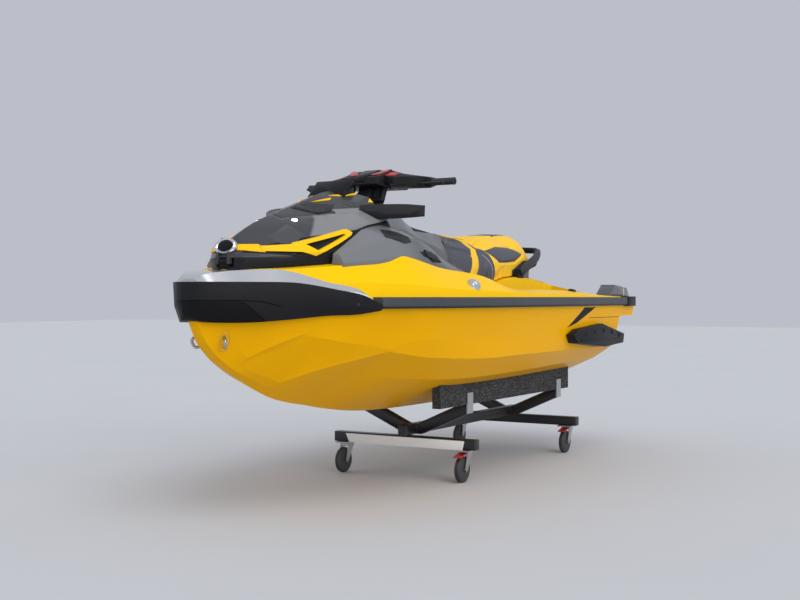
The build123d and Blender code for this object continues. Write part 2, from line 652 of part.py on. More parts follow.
LEVER_RADIUS = 6.0
with BuildPart() as levers:
    add(rod((at(380), out(240), up(1412)), (at(392), out(378), up(1410)), LEVER_RADIUS))
    mirror(about=Plane.XZ)
    add(covers.part, mode=Mode.SUBTRACT)
write(levers, "levers")

# --- Seats ----------------------------------------------------------------------------
SEAT_FOOT_Z = 930
SEAT_FRONT = (
    (SEAT_FRONT_X, (0, SEAT_FOOT_Z), (168, SEAT_FOOT_Z), (176, 1090), (150, 1168), (96, 1206), (0, 1214)),
    (-150, (0, SEAT_FOOT_Z), (196, SEAT_FOOT_Z), (208, 1050), (182, 1140), (110, 1186), (0, 1193)),
    (-270, (0, SEAT_FOOT_Z), (218, SEAT_FOOT_Z), (236, 1040), (200, 1138), (120, 1180), (0, 1184)),
    (SEAT_SPLIT_X, (0, SEAT_FOOT_Z), (226, SEAT_FOOT_Z), (246, 1030), (206, 1130), (130, 1172), (0, 1178)),
)
SEAT_REAR = (
    (SEAT_SPLIT_X, (0, SEAT_FOOT_Z), (224, SEAT_FOOT_Z), (240, 1040), (196, 1110), (120, 1132), (0, 1138)),
    (-480, (0, SEAT_FOOT_Z), (230, SEAT_FOOT_Z), (244, 1060), (200, 1150), (130, 1190), (0, 1198)),
    (-650, (0, SEAT_FOOT_Z), (232, SEAT_FOOT_Z), (242, 1080), (200, 1168), (136, 1208), (0, 1214)),
    (-850, (0, SEAT_FOOT_Z), (222, SEAT_FOOT_Z), (230, 1090), (186, 1182), (126, 1220), (0, 1226)),
    (SEAT_REAR_X, (0, SEAT_FOOT_Z), (180, SEAT_FOOT_Z), (186, 1080), (150, 1150), (100, 1180), (0, 1184)),
)
with BuildPart() as seat_front:
    add(lofted(SEAT_FRONT))
    add(seat_room, mode=Mode.INTERSECT)
write(seat_front, "seat_front")
with BuildPart() as seat_rear:
    add(lofted(SEAT_REAR))
    add(seat_room, mode=Mode.INTERSECT)
write(seat_rear, "seat_rear")

HANDLE_RADIUS = 17.0
with BuildPart() as grab_handle:
    with BuildLine() as handle_line:
        FilletPolyline(
            (at(-690), out(252), up(1020)), (at(-900), out(250), up(1070)), (at(-1090), out(190), up(1150)),
            (at(-1130), 0, up(1160)),
            (at(-1090), -out(190), up(1150)), (at(-900), -out(250), up(1070)),
            (at(-690), -out(252), up(1020)),
            radius=60,
        )
    with BuildSketch(Plane(origin=handle_line.line @ 0, z_dir=handle_line.line % 0)):
        Circle(HANDLE_RADIUS)
    sweep(path=handle_line.line)
    add(pair(block(-740, -670, 215, 262, 980, 1030)))
    add(seat_rear.part, mode=Mode.SUBTRACT)
    add(deck.part, mode=Mode.SUBTRACT)
write(grab_handle, "grab_handle")

# --- Jet pump -------------------------------------------------------------------------
PUMP_RADIUS = PUMP_BORE / 2
VENTURI_LENGTH = 40.0
VENTURI_BORE = 52.0
VENTURI_RADIUS = 60.0
NOZZLE_BORE = 43.0
NOZZLE_RADIUS = 50.0
NOZZLE_PIVOT_X = -1600
PIVOT_RADIUS = 6.0
YOKE_INNER = 84.0
YOKE_OUTER = 94.0
YOKE_HALF_HEIGHT = 12.0
BUCKET_RADIUS = 112.0
BUCKET_WALL = 6.0
pump_z = up(PUMP_AXIS_Z)
pump_x = at(PUMP_X)
venturi_x = pump_x - PUMP_LENGTH
venturi_end_x = venturi_x - VENTURI_LENGTH
pivot_x = at(NOZZLE_PIVOT_X)
PUMP_MOUTH = Plane(origin=(pump_x, 0, pump_z), x_dir=(0, 1, 0), z_dir=(-1, 0, 0))
with BuildPart() as pump:
    with BuildSketch(PUMP_MOUTH):
        Circle(PUMP_RADIUS + PUMP_WALL)
    extrude(amount=PUMP_LENGTH)
    with BuildSketch(PUMP_MOUTH):
        Rectangle(2 * PUMP_RADIUS + 60, 2 * PUMP_RADIUS + 10)
    extrude(amount=12)
    with BuildSketch(PUMP_MOUTH):
        Circle(PUMP_RADIUS)
    extrude(amount=PUMP_LENGTH, mode=Mode.SUBTRACT)
    with BuildSketch(PUMP_MOUTH.offset(PUMP_LENGTH)):
        Circle(PUMP_RADIUS + PUMP_WALL)
    with BuildSketch(PUMP_MOUTH.offset(PUMP_LENGTH + VENTURI_LENGTH)):
        Circle(VENTURI_RADIUS)
    loft()
    for side in (-1, 1):
        with BuildSketch(Plane.XY.offset(pump_z - YOKE_HALF_HEIGHT)):
            with BuildLine():
                Polyline(
                    (venturi_x + 20, side * (PUMP_RADIUS + 4)), (venturi_x - 10, side * YOKE_OUTER),
                    (pivot_x - 12, side * YOKE_OUTER), (pivot_x - 12, side * YOKE_INNER),
                    (venturi_end_x + 6, side * YOKE_INNER), (venturi_end_x + 6, side * (VENTURI_RADIUS - 2)),
                    (venturi_x + 20, side * (VENTURI_RADIUS - 2)), close=True,
                )
            make_face()
        extrude(amount=2 * YOKE_HALF_HEIGHT)
        pin_end = (pivot_x, side * (YOKE_OUTER + 12), pump_z)
        add(rod((pivot_x, side * YOKE_INNER, pump_z), pin_end, PIVOT_RADIUS))
        with BuildSketch(Plane.XZ):
            with BuildLine():
                Polyline(
                    (venturi_x, pump_z + side * (PUMP_RADIUS - 2)), (pivot_x - 12, pump_z + side * 70),
                    (pivot_x - 12, pump_z + side * 60), (venturi_end_x, pump_z + side * (VENTURI_RADIUS - 3)),
                    (venturi_x, pump_z + side * (VENTURI_RADIUS - 2)), close=True,
                )
            make_face()
        extrude(amount=10, both=True)
        add(rod((pivot_x, 0, pump_z + side * 50), (pivot_x, 0, pump_z + side * 68), PIVOT_RADIUS))
    with BuildSketch(PUMP_MOUTH.offset(PUMP_LENGTH)):
        Circle(PUMP_RADIUS)
    with BuildSketch(PUMP_MOUTH.offset(PUMP_LENGTH + VENTURI_LENGTH)):
        Circle(VENTURI_BORE)
    loft(mode=Mode.SUBTRACT)
write(pump, "jet_pump")

NOZZLE_FRONT = 20.0
with BuildPart() as nozzle:
    with BuildSketch(Plane(origin=(pivot_x + NOZZLE_FRONT, 0, pump_z), z_dir=(-1, 0, 0))):
        Circle(NOZZLE_RADIUS)
    with BuildSketch(Plane(origin=(pivot_x - NOZZLE_LENGTH + NOZZLE_FRONT, 0, pump_z), z_dir=(-1, 0, 0))):
        Circle(NOZZLE_RADIUS - 5)
    loft()
    add(rod((pivot_x, 0, pump_z - 58), (pivot_x, 0, pump_z + 58), 13))
    jet = rod((pivot_x + 60, 0, pump_z), (pivot_x - NOZZLE_LENGTH, 0, pump_z), NOZZLE_BORE - 5)
    add(jet, mode=Mode.SUBTRACT)
    pin = rod((pivot_x, 0, pump_z - 90), (pivot_x, 0, pump_z + 90), PIVOT_RADIUS + BEARING_PLAY)
    add(pin, mode=Mode.SUBTRACT)
write(nozzle, "jet_nozzle")

BUCKET_ARM_INNER = YOKE_OUTER + 1.0
BUCKET_ARM = 8.0
with BuildPart() as bucket:
    with BuildSketch(Plane.XZ):
        with BuildLine():
            upper = CenterArc((pivot_x, pump_z), BUCKET_RADIUS + BUCKET_WALL, 88, 62)
            lower = CenterArc((pivot_x, pump_z), BUCKET_RADIUS, 88, 62)
            Line(upper @ 0, lower @ 0)
            Line(upper @ 1, lower @ 1)
        make_face()
    extrude(amount=BUCKET_ARM_INNER + BUCKET_ARM, both=True)
    with BuildSketch(Plane.XZ.offset(BUCKET_ARM_INNER)):
        with BuildLine():
            rim = CenterArc((pivot_x, pump_z), BUCKET_RADIUS + BUCKET_WALL / 2, 88, 62)
            Polyline(
                rim @ 0, (pivot_x + 14, pump_z), (pivot_x, pump_z - 14), (pivot_x - 14, pump_z), rim @ 1,
            )
        make_face()
    extrude(amount=BUCKET_ARM)
    mirror(about=Plane.XZ)
    add(rod((pivot_x, -130, pump_z), (pivot_x, 130, pump_z), PIVOT_RADIUS + BEARING_PLAY), mode=Mode.SUBTRACT)
write(bucket, "reverse_bucket")

HUB_RADIUS = 28.0
BLADE_CLEARANCE = 2.0
BLADES = 4
with BuildPart() as impeller:
    add(rod((pump_x - 18, 0, pump_z), (pump_x - PUMP_LENGTH + 20, 0, pump_z), HUB_RADIUS))
    for blade in range(BLADES):
        turn = blade * 360 / BLADES
        blade_plane = Plane(
            origin=(pump_x - 80, 0, pump_z),
            x_dir=(1, 0, 0),
            z_dir=(0, cos(radians(turn)), sin(radians(turn))),
        )
        with BuildSketch(blade_plane):
            Rectangle(110, 5, rotation=38)
        extrude(amount=PUMP_RADIUS)
    add(rod((pump_x, 0, pump_z), (venturi_x, 0, pump_z), PUMP_RADIUS - BLADE_CLEARANCE), mode=Mode.INTERSECT)
    add(rod((engine_rear_x - SEAT_GAP, 0, pump_z), (pump_x - 20, 0, pump_z), SHAFT_RADIUS))
write(impeller, "impeller")

with BuildPart() as ride_plate:
    add(block(-1560, PUMP_X, -TUNNEL_HALF_WIDTH, TUNNEL_HALF_WIDTH, 392, 392 + RIDE_PLATE_THICKNESS))
write(ride_plate, "ride_plate")

with BuildPart() as grate:
    for y, foot in ((0, 352), (34, 365), (-34, 365)):
        add(block(-1320, -960, y - 5, y + 5, foot, foot + 12))
    add(hull.part, mode=Mode.SUBTRACT)
write(grate, "intake_grate")

with BuildPart() as engine:
    with BuildSketch(Plane.XY.offset(up(ENGINE_FLOOR_Z))):
        with Locations((at(ENGINE_FRONT_X) - ENGINE_LENGTH / 2, 0)):
            Rectangle(ENGINE_LENGTH, ENGINE_WIDTH)
    extrude(amount=ENGINE_HEIGHT)
write(engine, "engine_block")

# --- Small fittings -------------------------------------------------------------------
FILLER_AXIS = Vector(0, 0.94, 0.34).normalized()
FILLER_PLANE = Plane(origin=(at(420), out(552), up(938)), z_dir=FILLER_AXIS)
with BuildPart() as filler:
    with BuildSketch(FILLER_PLANE):
        Circle(FILLER_RADIUS)
    extrude(amount=FILLER_STAND, both=True)
    add(core, mode=Mode.SUBTRACT)
write(filler, "fuel_cap")

with BuildPart() as mats:
    add(pair(block(FOOTWELL_REAR_X + 8, FOOTWELL_FRONT_X - 8, FOOTWELL_INNER_Y + 8, FOOTWELL_OUTER_Y - 8,
                   FOOTWELL_FLOOR_Z, FOOTWELL_FLOOR_Z + MAT_THICKNESS)))
write(mats, "footwell_mats")
with BuildPart() as platform_mat:
    add(block(TRANSOM_X + 6, PLATFORM_FRONT_X - 8, 8 - PLATFORM_HALF_WIDTH, PLATFORM_HALF_WIDTH - 8,
              PLATFORM_Z, PLATFORM_Z + MAT_THICKNESS))
write(platform_mat, "platform_mat")

FIN_SIDE = ((-1290, 880), (-1400, 955), (-1600, 940), (-1640, 890), (-1640, 880))
with BuildPart() as fins:
    add(side_profile(FIN_SIDE, out(540)))
    add(block(-1700, -1200, -455, 455, 800, 1100), mode=Mode.SUBTRACT)
    add(core, mode=Mode.SUBTRACT)
    add(rails.part, mode=Mode.SUBTRACT)
write(fins, "stern_fins")

VENT_SIDE = ((500, 1042), (640, 1062), (640, 1092), (500, 1072))
VENT_STAND = 4
with BuildPart() as vents:
    add(lofted_pair(grown(SIDE_PANEL, VENT_STAND)))
    add(side_profile(VENT_SIDE, BEAM / 2), mode=Mode.INTERSECT)
    add(block(300, 800, -330, 330, 900, 1300), mode=Mode.SUBTRACT)
    add(side_panels.part, mode=Mode.SUBTRACT)
    add(core, mode=Mode.SUBTRACT)
write(vents, "side_vents")

with BuildPart() as bow_eye:
    with BuildLine() as eye_line:
        FilletPolyline(
            BOW_EYE - bow_eye_up * BOW_EYE_SPREAD - BOW_EYE_OUT * 20,
            BOW_EYE - bow_eye_up * BOW_EYE_SPREAD + BOW_EYE_OUT * 24,
            BOW_EYE + bow_eye_up * BOW_EYE_SPREAD + BOW_EYE_OUT * 24,
            BOW_EYE + bow_eye_up * BOW_EYE_SPREAD - BOW_EYE_OUT * 20,
            radius=14,
        )
    with BuildSketch(Plane(origin=eye_line.line @ 0, z_dir=eye_line.line % 0)):
        Circle(EYE_ROD)
    sweep(path=eye_line.line)
    mirror(about=Plane.XZ)
    add(hull.part, mode=Mode.SUBTRACT)
write(bow_eye, "bow_eyes")

TOW_EYE_X = -1682
TOW_EYE_BORE = 9.0
TOW_EYE_PLATE = 10.0
with BuildPart() as tow_eye:
    with BuildSketch(Plane.XZ):
        with BuildLine():
            Polyline(
                (at(TOW_EYE_X) - 30, up(PLATFORM_Z)), (at(TOW_EYE_X) + 30, up(PLATFORM_Z)),
                (at(TOW_EYE_X) + 22, up(PLATFORM_Z) + 34), (at(TOW_EYE_X) - 22, up(PLATFORM_Z) + 34),
                close=True,
            )
        make_face()
        with Locations((at(TOW_EYE_X), up(PLATFORM_Z) + 18)):
            Circle(TOW_EYE_BORE, mode=Mode.SUBTRACT)
    extrude(amount=TOW_EYE_PLATE / 2, both=True)
write(tow_eye, "tow_eye")

# --- Dolly ----------------------------------------------------------------------------
BEAM_TOP = CASTER_HEIGHT + TUBE
SPINE_TOP = BEAM_TOP + TUBE
ARM_WIDTH = 44.0
ARM_STATIONS = (0.0, -1100.0)
BUNK_LOW_Z = up(STD_KEEL_Z) + 17.0
BUNK_OUTER = BUNK_SPREAD + BUNK_WIDTH / 2
with BuildPart() as dolly:
    with BuildSketch(Plane.XY.offset(CASTER_HEIGHT)):
        with Locations((FRONT_AXLE_X, 0), (REAR_AXLE_X, 0)):
            Rectangle(TUBE, 2 * DOLLY_HALF_WIDTH)
    extrude(amount=TUBE)
    with BuildSketch(Plane.XY.offset(BEAM_TOP)):
        with Locations(((FRONT_AXLE_X + REAR_AXLE_X) / 2, 0)):
            Rectangle(FRONT_AXLE_X - REAR_AXLE_X + TUBE, TUBE)
    extrude(amount=TUBE)
    for station in ARM_STATIONS:
        with BuildSketch(Plane.YZ.offset(station)):
            with BuildLine():
                Polyline(
                    (0, BEAM_TOP), (TUBE, BEAM_TOP), (BUNK_OUTER, BUNK_LOW_Z - ARM_WIDTH),
                    (BUNK_OUTER, BUNK_LOW_Z), (BUNK_SPREAD - BUNK_WIDTH / 2, BUNK_LOW_Z),
                    (TUBE / 2, SPINE_TOP), (0, SPINE_TOP), close=True,
                )
            make_face()
            mirror(about=Plane.YZ)
        extrude(amount=ARM_WIDTH / 2, both=True)
write(dolly, "dolly_frame")

with BuildPart() as bunks:
    with BuildSketch(Plane.XY.offset(BUNK_LOW_Z)):
        with Locations(((BUNK_FRONT_X + BUNK_REAR_X) / 2, BUNK_SPREAD)):
            Rectangle(BUNK_FRONT_X - BUNK_REAR_X, BUNK_WIDTH)
    extrude(amount=BUNK_HEIGHT + 60)
    mirror(about=Plane.XZ)
    add(core, mode=Mode.SUBTRACT)
write(bunks, "bunks")

BRACKET_THICKNESS = 5.0
BRACKET_WIDTH = 60.0
with BuildPart() as brackets:
    for station in ARM_STATIONS:
        with BuildSketch(Plane.XY.offset(BUNK_LOW_Z - ARM_WIDTH)):
            with Locations((station, BUNK_OUTER + BRACKET_THICKNESS / 2)):
                Rectangle(BRACKET_WIDTH, BRACKET_THICKNESS)
        extrude(amount=ARM_WIDTH + BUNK_HEIGHT * 0.6)
    mirror(about=Plane.XZ)
write(brackets, "bunk_brackets")

PLATE_THICKNESS = 6.0
PLATE_LENGTH = 100.0
PLATE_WIDTH = 84.0
CROWN_THICKNESS = 8.0
CROWN_RADIUS = 26.0
CROWN_TOP = CASTER_HEIGHT - PLATE_THICKNESS - 5.0
SWIVEL_RADIUS = 7.0
LEG_THICKNESS = 4.0
LEG_GAP = 5.0
LEG_INNER = WHEEL_WIDTH / 2 + LEG_GAP
LEG_OUTER = LEG_INNER + LEG_THICKNESS
HUB_HALF_WIDTH = LEG_INNER - 0.6
CASTERS = {
    "front_port": (FRONT_AXLE_X, DOLLY_HALF_WIDTH - CASTER_INSET),
    "front_starboard": (FRONT_AXLE_X, CASTER_INSET - DOLLY_HALF_WIDTH),
    "rear_port": (REAR_AXLE_X, DOLLY_HALF_WIDTH - CASTER_INSET),
    "rear_starboard": (REAR_AXLE_X, CASTER_INSET - DOLLY_HALF_WIDTH),
}
with BuildPart() as plates:
    with BuildSketch(Plane.XY.offset(CASTER_HEIGHT)):
        with Locations(*CASTERS.values()):
            Rectangle(PLATE_LENGTH, PLATE_WIDTH)
    extrude(amount=-PLATE_THICKNESS)
    with BuildSketch(Plane.XY.offset(CASTER_HEIGHT)):
        with Locations(*CASTERS.values()):
            Circle(SWIVEL_RADIUS)
    extrude(amount=CROWN_TOP - CROWN_THICKNESS - 2 - CASTER_HEIGHT)
write(plates, "caster_plates")


def caster_fork(x, y):
    """Fork of one caster: a crown on the swivel pin, two raked legs and the axle."""
    axle_x = x + CASTER_TRAIL
    with BuildPart() as fork:
        with BuildSketch(Plane.XY.offset(CROWN_TOP)):
            with Locations((x, y)):
                Rectangle(2 * CROWN_RADIUS, 2 * LEG_OUTER)
        extrude(amount=-CROWN_THICKNESS)
        for side in (LEG_INNER, -LEG_OUTER):
            with BuildSketch(Plane.XZ.offset(-y - side - LEG_THICKNESS)):
                with BuildLine():
                    Polyline(
                        (x - CROWN_RADIUS, CROWN_TOP), (x + CROWN_RADIUS, CROWN_TOP),
                        (axle_x + 14, WHEEL_RADIUS), (axle_x, WHEEL_RADIUS - 14), (axle_x - 14, WHEEL_RADIUS),
                        close=True,
                    )
                make_face()
            extrude(amount=LEG_THICKNESS)
        axle_end = LEG_OUTER + 4
        add(rod((axle_x, y - axle_end, WHEEL_RADIUS), (axle_x, y + axle_end, WHEEL_RADIUS), AXLE_RADIUS))
        with BuildSketch(Plane.XY.offset(CROWN_TOP)):
            with Locations((x, y)):
                Circle(SWIVEL_RADIUS + BEARING_PLAY)
        extrude(amount=-CROWN_THICKNESS, mode=Mode.SUBTRACT)
    return fork


def caster_wheel(x, y):
    """Wheel of one caster, with its hub and bore, standing on the floor."""
    with BuildPart() as wheel:
        with BuildSketch(Plane.XZ.offset(-y)):
            with Locations((x + CASTER_TRAIL, WHEEL_RADIUS)):
                Circle(WHEEL_RADIUS)
        extrude(amount=WHEEL_WIDTH / 2, both=True)
        chamfer(wheel.edges().filter_by(GeomType.CIRCLE), 4)
        with BuildSketch(Plane.XZ.offset(-y)):
            with Locations((x + CASTER_TRAIL, WHEEL_RADIUS)):
                Circle(3 * AXLE_RADIUS)
        extrude(amount=HUB_HALF_WIDTH, both=True)
        with BuildSketch(Plane.XZ.offset(-y)):
            with Locations((x + CASTER_TRAIL, WHEEL_RADIUS)):
                Circle(AXLE_RADIUS + BEARING_PLAY)
        extrude(amount=HUB_HALF_WIDTH, both=True, mode=Mode.SUBTRACT)
    return wheel


BRAKED = ("front_port", "rear_port")
PEDAL_LENGTH = 62.0
PEDAL_THICKNESS = 5.0


def caster_brake(x, y):
    """Brake pedal of one caster: a plate behind the crown, with its lip turned down."""
    top = CROWN_TOP - CROWN_THICKNESS
    with BuildPart() as brake:
        with BuildSketch(Plane.XZ.offset(-y)):
            with BuildLine():
                Polyline(
                    (x + CROWN_RADIUS, top + CROWN_THICKNESS), (x + CROWN_RADIUS + PEDAL_LENGTH, top - 8),
                    (x + CROWN_RADIUS + PEDAL_LENGTH, top - 8 - PEDAL_THICKNESS),
                    (x + CROWN_RADIUS, top + CROWN_THICKNESS - PEDAL_THICKNESS), close=True,
                )
            make_face()
        extrude(amount=LEG_INNER - SEAT_GAP, both=True)
    return brake


for name in BRAKED:
    write(caster_brake(*CASTERS[name]), f"caster_brake_{name}")
for name, (caster_x, caster_y) in CASTERS.items():
    write(caster_fork(caster_x, caster_y), f"caster_fork_{name}")
    write(caster_wheel(caster_x, caster_y), f"caster_wheel_{name}")
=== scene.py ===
"""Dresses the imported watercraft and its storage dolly.

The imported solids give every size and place. This script gives them their finishes,
adds the soft goods and the moulded details that lie over them, and sets the studio.
Lengths are metres; +X is the bow, +Y is port and +Z is up.
"""

import json
import logging
import math
from contextlib import contextmanager
from dataclasses import dataclass
from enum import Enum
from functools import partialmethod
from typing import Callable, Iterator, Sequence

import bpy
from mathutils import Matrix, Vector
from mathutils.bvhtree import BVHTree

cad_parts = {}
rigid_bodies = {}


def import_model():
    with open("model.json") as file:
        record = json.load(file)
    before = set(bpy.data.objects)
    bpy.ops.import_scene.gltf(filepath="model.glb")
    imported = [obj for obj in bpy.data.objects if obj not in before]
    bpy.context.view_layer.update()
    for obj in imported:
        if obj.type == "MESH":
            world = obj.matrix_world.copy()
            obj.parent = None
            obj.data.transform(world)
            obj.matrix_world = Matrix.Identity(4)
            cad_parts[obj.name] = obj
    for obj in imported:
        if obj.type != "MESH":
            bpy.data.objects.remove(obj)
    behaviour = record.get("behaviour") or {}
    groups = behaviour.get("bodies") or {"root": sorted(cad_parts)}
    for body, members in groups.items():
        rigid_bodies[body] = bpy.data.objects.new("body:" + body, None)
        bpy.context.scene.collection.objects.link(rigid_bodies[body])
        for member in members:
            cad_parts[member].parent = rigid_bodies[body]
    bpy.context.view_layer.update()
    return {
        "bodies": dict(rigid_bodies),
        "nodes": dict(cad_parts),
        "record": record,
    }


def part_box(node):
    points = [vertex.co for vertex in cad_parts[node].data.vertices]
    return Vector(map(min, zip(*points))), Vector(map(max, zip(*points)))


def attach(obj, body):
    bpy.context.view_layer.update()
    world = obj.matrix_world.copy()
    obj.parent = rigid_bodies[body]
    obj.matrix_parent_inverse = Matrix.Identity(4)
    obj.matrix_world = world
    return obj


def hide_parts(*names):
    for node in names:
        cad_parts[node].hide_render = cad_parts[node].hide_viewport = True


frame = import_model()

LOG = logging.getLogger("watercraft")
Point = tuple[float, float, float]
Colour = tuple[float, float, float]


# Shader maths


class Socket:
    """One output socket of a node tree, with arithmetic that adds Math nodes."""

    def __init__(self, tree: "Tree", link: bpy.types.NodeSocket) -> None:
        """Wraps an output socket of a tree."""
        self.tree = tree
        self.link = link

    def _math(self, operation: str, *others: "Socket | float") -> "Socket":
        """Adds a Math node on this socket and the others, and returns its output."""
        return self.tree.node("ShaderNodeMath", {"operation": operation}, dict(enumerate([self, *others])))

    # Each of these adds the Math node of its operation.
    __add__ = __radd__ = partialmethod(_math, "ADD")
    __sub__ = partialmethod(_math, "SUBTRACT")
    __mul__ = __rmul__ = partialmethod(_math, "MULTIPLY")
    __gt__ = partialmethod(_math, "GREATER_THAN")
    __lt__ = partialmethod(_math, "LESS_THAN")
    least = partialmethod(_math, "MINIMUM")
    most = partialmethod(_math, "MAXIMUM")
    size = partialmethod(_math, "ABSOLUTE")
    wave = partialmethod(_math, "SINE")

    def __rsub__(self, other: float) -> "Socket":
        """Returns other less this socket."""
        return self.tree.node("ShaderNodeMath", {"operation": "SUBTRACT"}, {0: other, 1: self})

    def step(self, low: float, high: float) -> "Socket":
        """Returns a smooth step from 0 at low to 1 at high."""
        settings = {"interpolation_type": "SMOOTHSTEP"}
        return self.tree.node("ShaderNodeMapRange", settings, {0: self, 1: low, 2: high})


class Tree:
    """The node tree of one material or world."""

    def __init__(self, name: str, group: str = "materials") -> None:
        """Makes an empty tree.

        Args:
            name: Name of the material or world.
            group: Blender's name of the list that it is in.
        """
        self.owner = getattr(bpy.data, group).new(name)
        self.owner.use_nodes = True
        self.nodes = self.owner.node_tree.nodes
        self.links = self.owner.node_tree.links
        self.nodes.clear()

    def node(
        self, kind: str, settings: dict | None = None, inputs: dict | None = None, output: int | str = 0,
    ) -> Socket:
        """Adds a node.

        Args:
            kind: Blender's name of the node type.
            settings: Properties of the node, set before its sockets.
            inputs: Values or Sockets by the input's name or number.
            output: Name or number of the output to return.

        Returns:
            The chosen output.
        """
        made = self.nodes.new(kind)
        for key, value in (settings or {}).items():
            setattr(made, key, value)
        for key, value in (inputs or {}).items():
            if isinstance(value, Socket):
                self.links.new(value.link, made.inputs[key])
            else:
                if isinstance(value, tuple) and len(value) == 3 and len(made.inputs[key].default_value) == 4:
                    value = (*value, 1.0)
                made.inputs[key].default_value = value
        return Socket(self, made.outputs[output])

    def place(self) -> Socket:
        """Returns the Object coordinates, which are metres in the part's frame."""
        return self.node("ShaderNodeTexCoord", output="Object")

    def axes(self) -> tuple[Socket, Socket, Socket]:
        """Splits the Object coordinates.

        Returns:
            x, y and z.
        """
        split = self.node("ShaderNodeSeparateXYZ", {}, {0: self.place()})
        outputs = split.link.node.outputs
        return tuple(Socket(self, outputs[i]) for i in range(3))

    def noise(self, size: float, detail: float = 3.0, stretch: Point = (1, 1, 1)) -> Socket:
        """Adds a noise texture.

        Args:
            size: Size of a blotch in metres.
            detail: Octaves of finer noise.
            stretch: Factors on the three axes.

        Returns:
            The noise, about 0 to 1.
        """
        where = self.node("ShaderNodeMapping", {}, {"Vector": self.place(), "Scale": stretch})
        return self.node("ShaderNodeTexNoise", {}, {"Vector": where, "Scale": 1 / size, "Detail": detail})

    def cells(self, size: float, feature: str = "F1") -> Socket:
        """Adds a cell texture and returns its distance output."""
        where = self.node("ShaderNodeMapping", {}, {"Vector": self.place()})
        return self.node("ShaderNodeTexVoronoi", {"feature": feature}, {"Vector": where, "Scale": 1 / size})

    def mix(self, factor: "Socket | float", one: "Socket | Colour", two: "Socket | Colour") -> Socket:
        """Mixes two colours, where a factor of 0 gives the first."""
        return self.node("ShaderNodeMix", {"data_type": "RGBA"}, {0: factor, 6: one, 7: two}, 2)

    def bump(self, height: Socket, depth: float, under: Socket | None = None) -> Socket:
        """Adds a Bump node.

        Args:
            height: Height of the surface, 0 to 1.
            depth: What a height of 1 is, in metres.
            under: A normal that the bump goes over.

        Returns:
            The normal.
        """
        inputs = {"Height": height, "Distance": depth, "Strength": 1.0}
        if under:
            inputs["Normal"] = under
        return self.node("ShaderNodeBump", {}, inputs)

    def close(self, surface: Socket, kind: str = "ShaderNodeOutputMaterial") -> bpy.types.ID:
        """Links a surface to an output node, and returns the material or world."""
        self.links.new(surface.link, self.nodes.new(kind).inputs[0])
        return self.owner

    def done(self, **inputs: "Socket | Colour | float") -> bpy.types.Material:
        """Finishes the material.

        Args:
            inputs: Inputs of the Principled shader, with an underscore for a space.

        Returns:
            The material.
        """
        named_inputs = {name.replace("_", " "): value for name, value in inputs.items()}
        return self.close(self.node("ShaderNodeBsdfPrincipled", {}, named_inputs))


def tint(colour: Colour, factor: float) -> Colour:
    """Returns the colour with each channel multiplied."""
    return tuple(min(1.0, channel * factor) for channel in colour)


# Finishes


class Grain(Enum):
    """Kinds of fine surface that a finish can have."""

    SMOOTH = "smooth"
    PEBBLE = "pebble"
    VINYL = "vinyl"
    CARPET = "carpet"
    CAST = "cast"
    BRUSHED = "brushed"


@dataclass(frozen=True)
class Finish:
    """One finish: its colour, gloss and fine surface.

    Attributes:
        name: Name of the material.
        colour: Linear base colour.
        roughness: Mean roughness.
        metallic: 1 for bare metal.
        coat: Weight of a clear coat.
        grain: Kind of fine surface.
        size: Size of the grain in metres.
        depth: Depth of the grain in metres.
        fade: How much the colour wanders over the piece.
        smear: How much the roughness wanders.
        specular: Specular level.
    """

    name: str
    colour: Colour
    roughness: float
    metallic: float = 0.0
    coat: float = 0.0
    grain: Grain = Grain.SMOOTH
    size: float = 0.002
    depth: float = 0.0002
    fade: float = 0.05
    smear: float = 0.06
    specular: float = 0.5

    def relief(self, tree: Tree) -> Socket:
        """Builds the fine surface.

        Args:
            tree: The material's tree.

        Returns:
            Its normal.
        """
        if self.grain is Grain.SMOOTH:
            return tree.bump(tree.noise(0.35, 1.0), 0.0006)
        if self.grain is Grain.VINYL:
            height = tree.cells(self.size, "SMOOTH_F1") + tree.noise(self.size * 3, 2.0) * 0.6
        elif self.grain is Grain.CARPET:
            height = tree.noise(self.size, 4.0) + tree.cells(self.size * 1.6) * 0.5
        elif self.grain is Grain.CAST:
            height = tree.noise(self.size, 5.0)
        else:
            height = tree.noise(self.size, 2.0, (0.05, 1, 1) if self.grain is Grain.BRUSHED else (1, 1, 1))
        return tree.bump(height, self.depth)

    def tone(self, tree: Tree) -> Socket | None:
        """Returns what takes the place of the plain colour, if anything."""
        return None

    def build(self) -> bpy.types.Material:
        """Builds the material, with its wandering colour and gloss.

        Returns:
            The material.
        """
        tree = Tree(self.name)
        tone = self.tone(tree)
        blotch = tree.noise(0.18, 4.0)
        fine = tree.noise(0.02, 3.0)
        base = tone or tree.mix(blotch, tint(self.colour, 1 - self.fade), tint(self.colour, 1 + self.fade))
        if self.metallic < 0.5:
            base = tree.mix((fine - 0.5) * (2 * self.fade), base, tint(self.colour, 0.8))
        rough = (blotch - 0.5) * (2 * self.smear) + (fine - 0.5) * self.smear + self.roughness
        coat = {"Coat_Weight": self.coat, "Coat_Roughness": 0.04} if self.coat else {}
        return tree.done(
            Base_Color=base, Roughness=rough, Metallic=self.metallic, Specular_IOR_Level=self.specular,
            Normal=self.relief(tree), **coat,
        )


YELLOW: Colour = (0.84, 0.50, 0.004)
# Painted shade: deeper orange for the lower hull, where less light falls.
AMBER_SHADE: Colour = (0.86, 0.42, 0.002)
BLACK: Colour = (0.012, 0.012, 0.014)


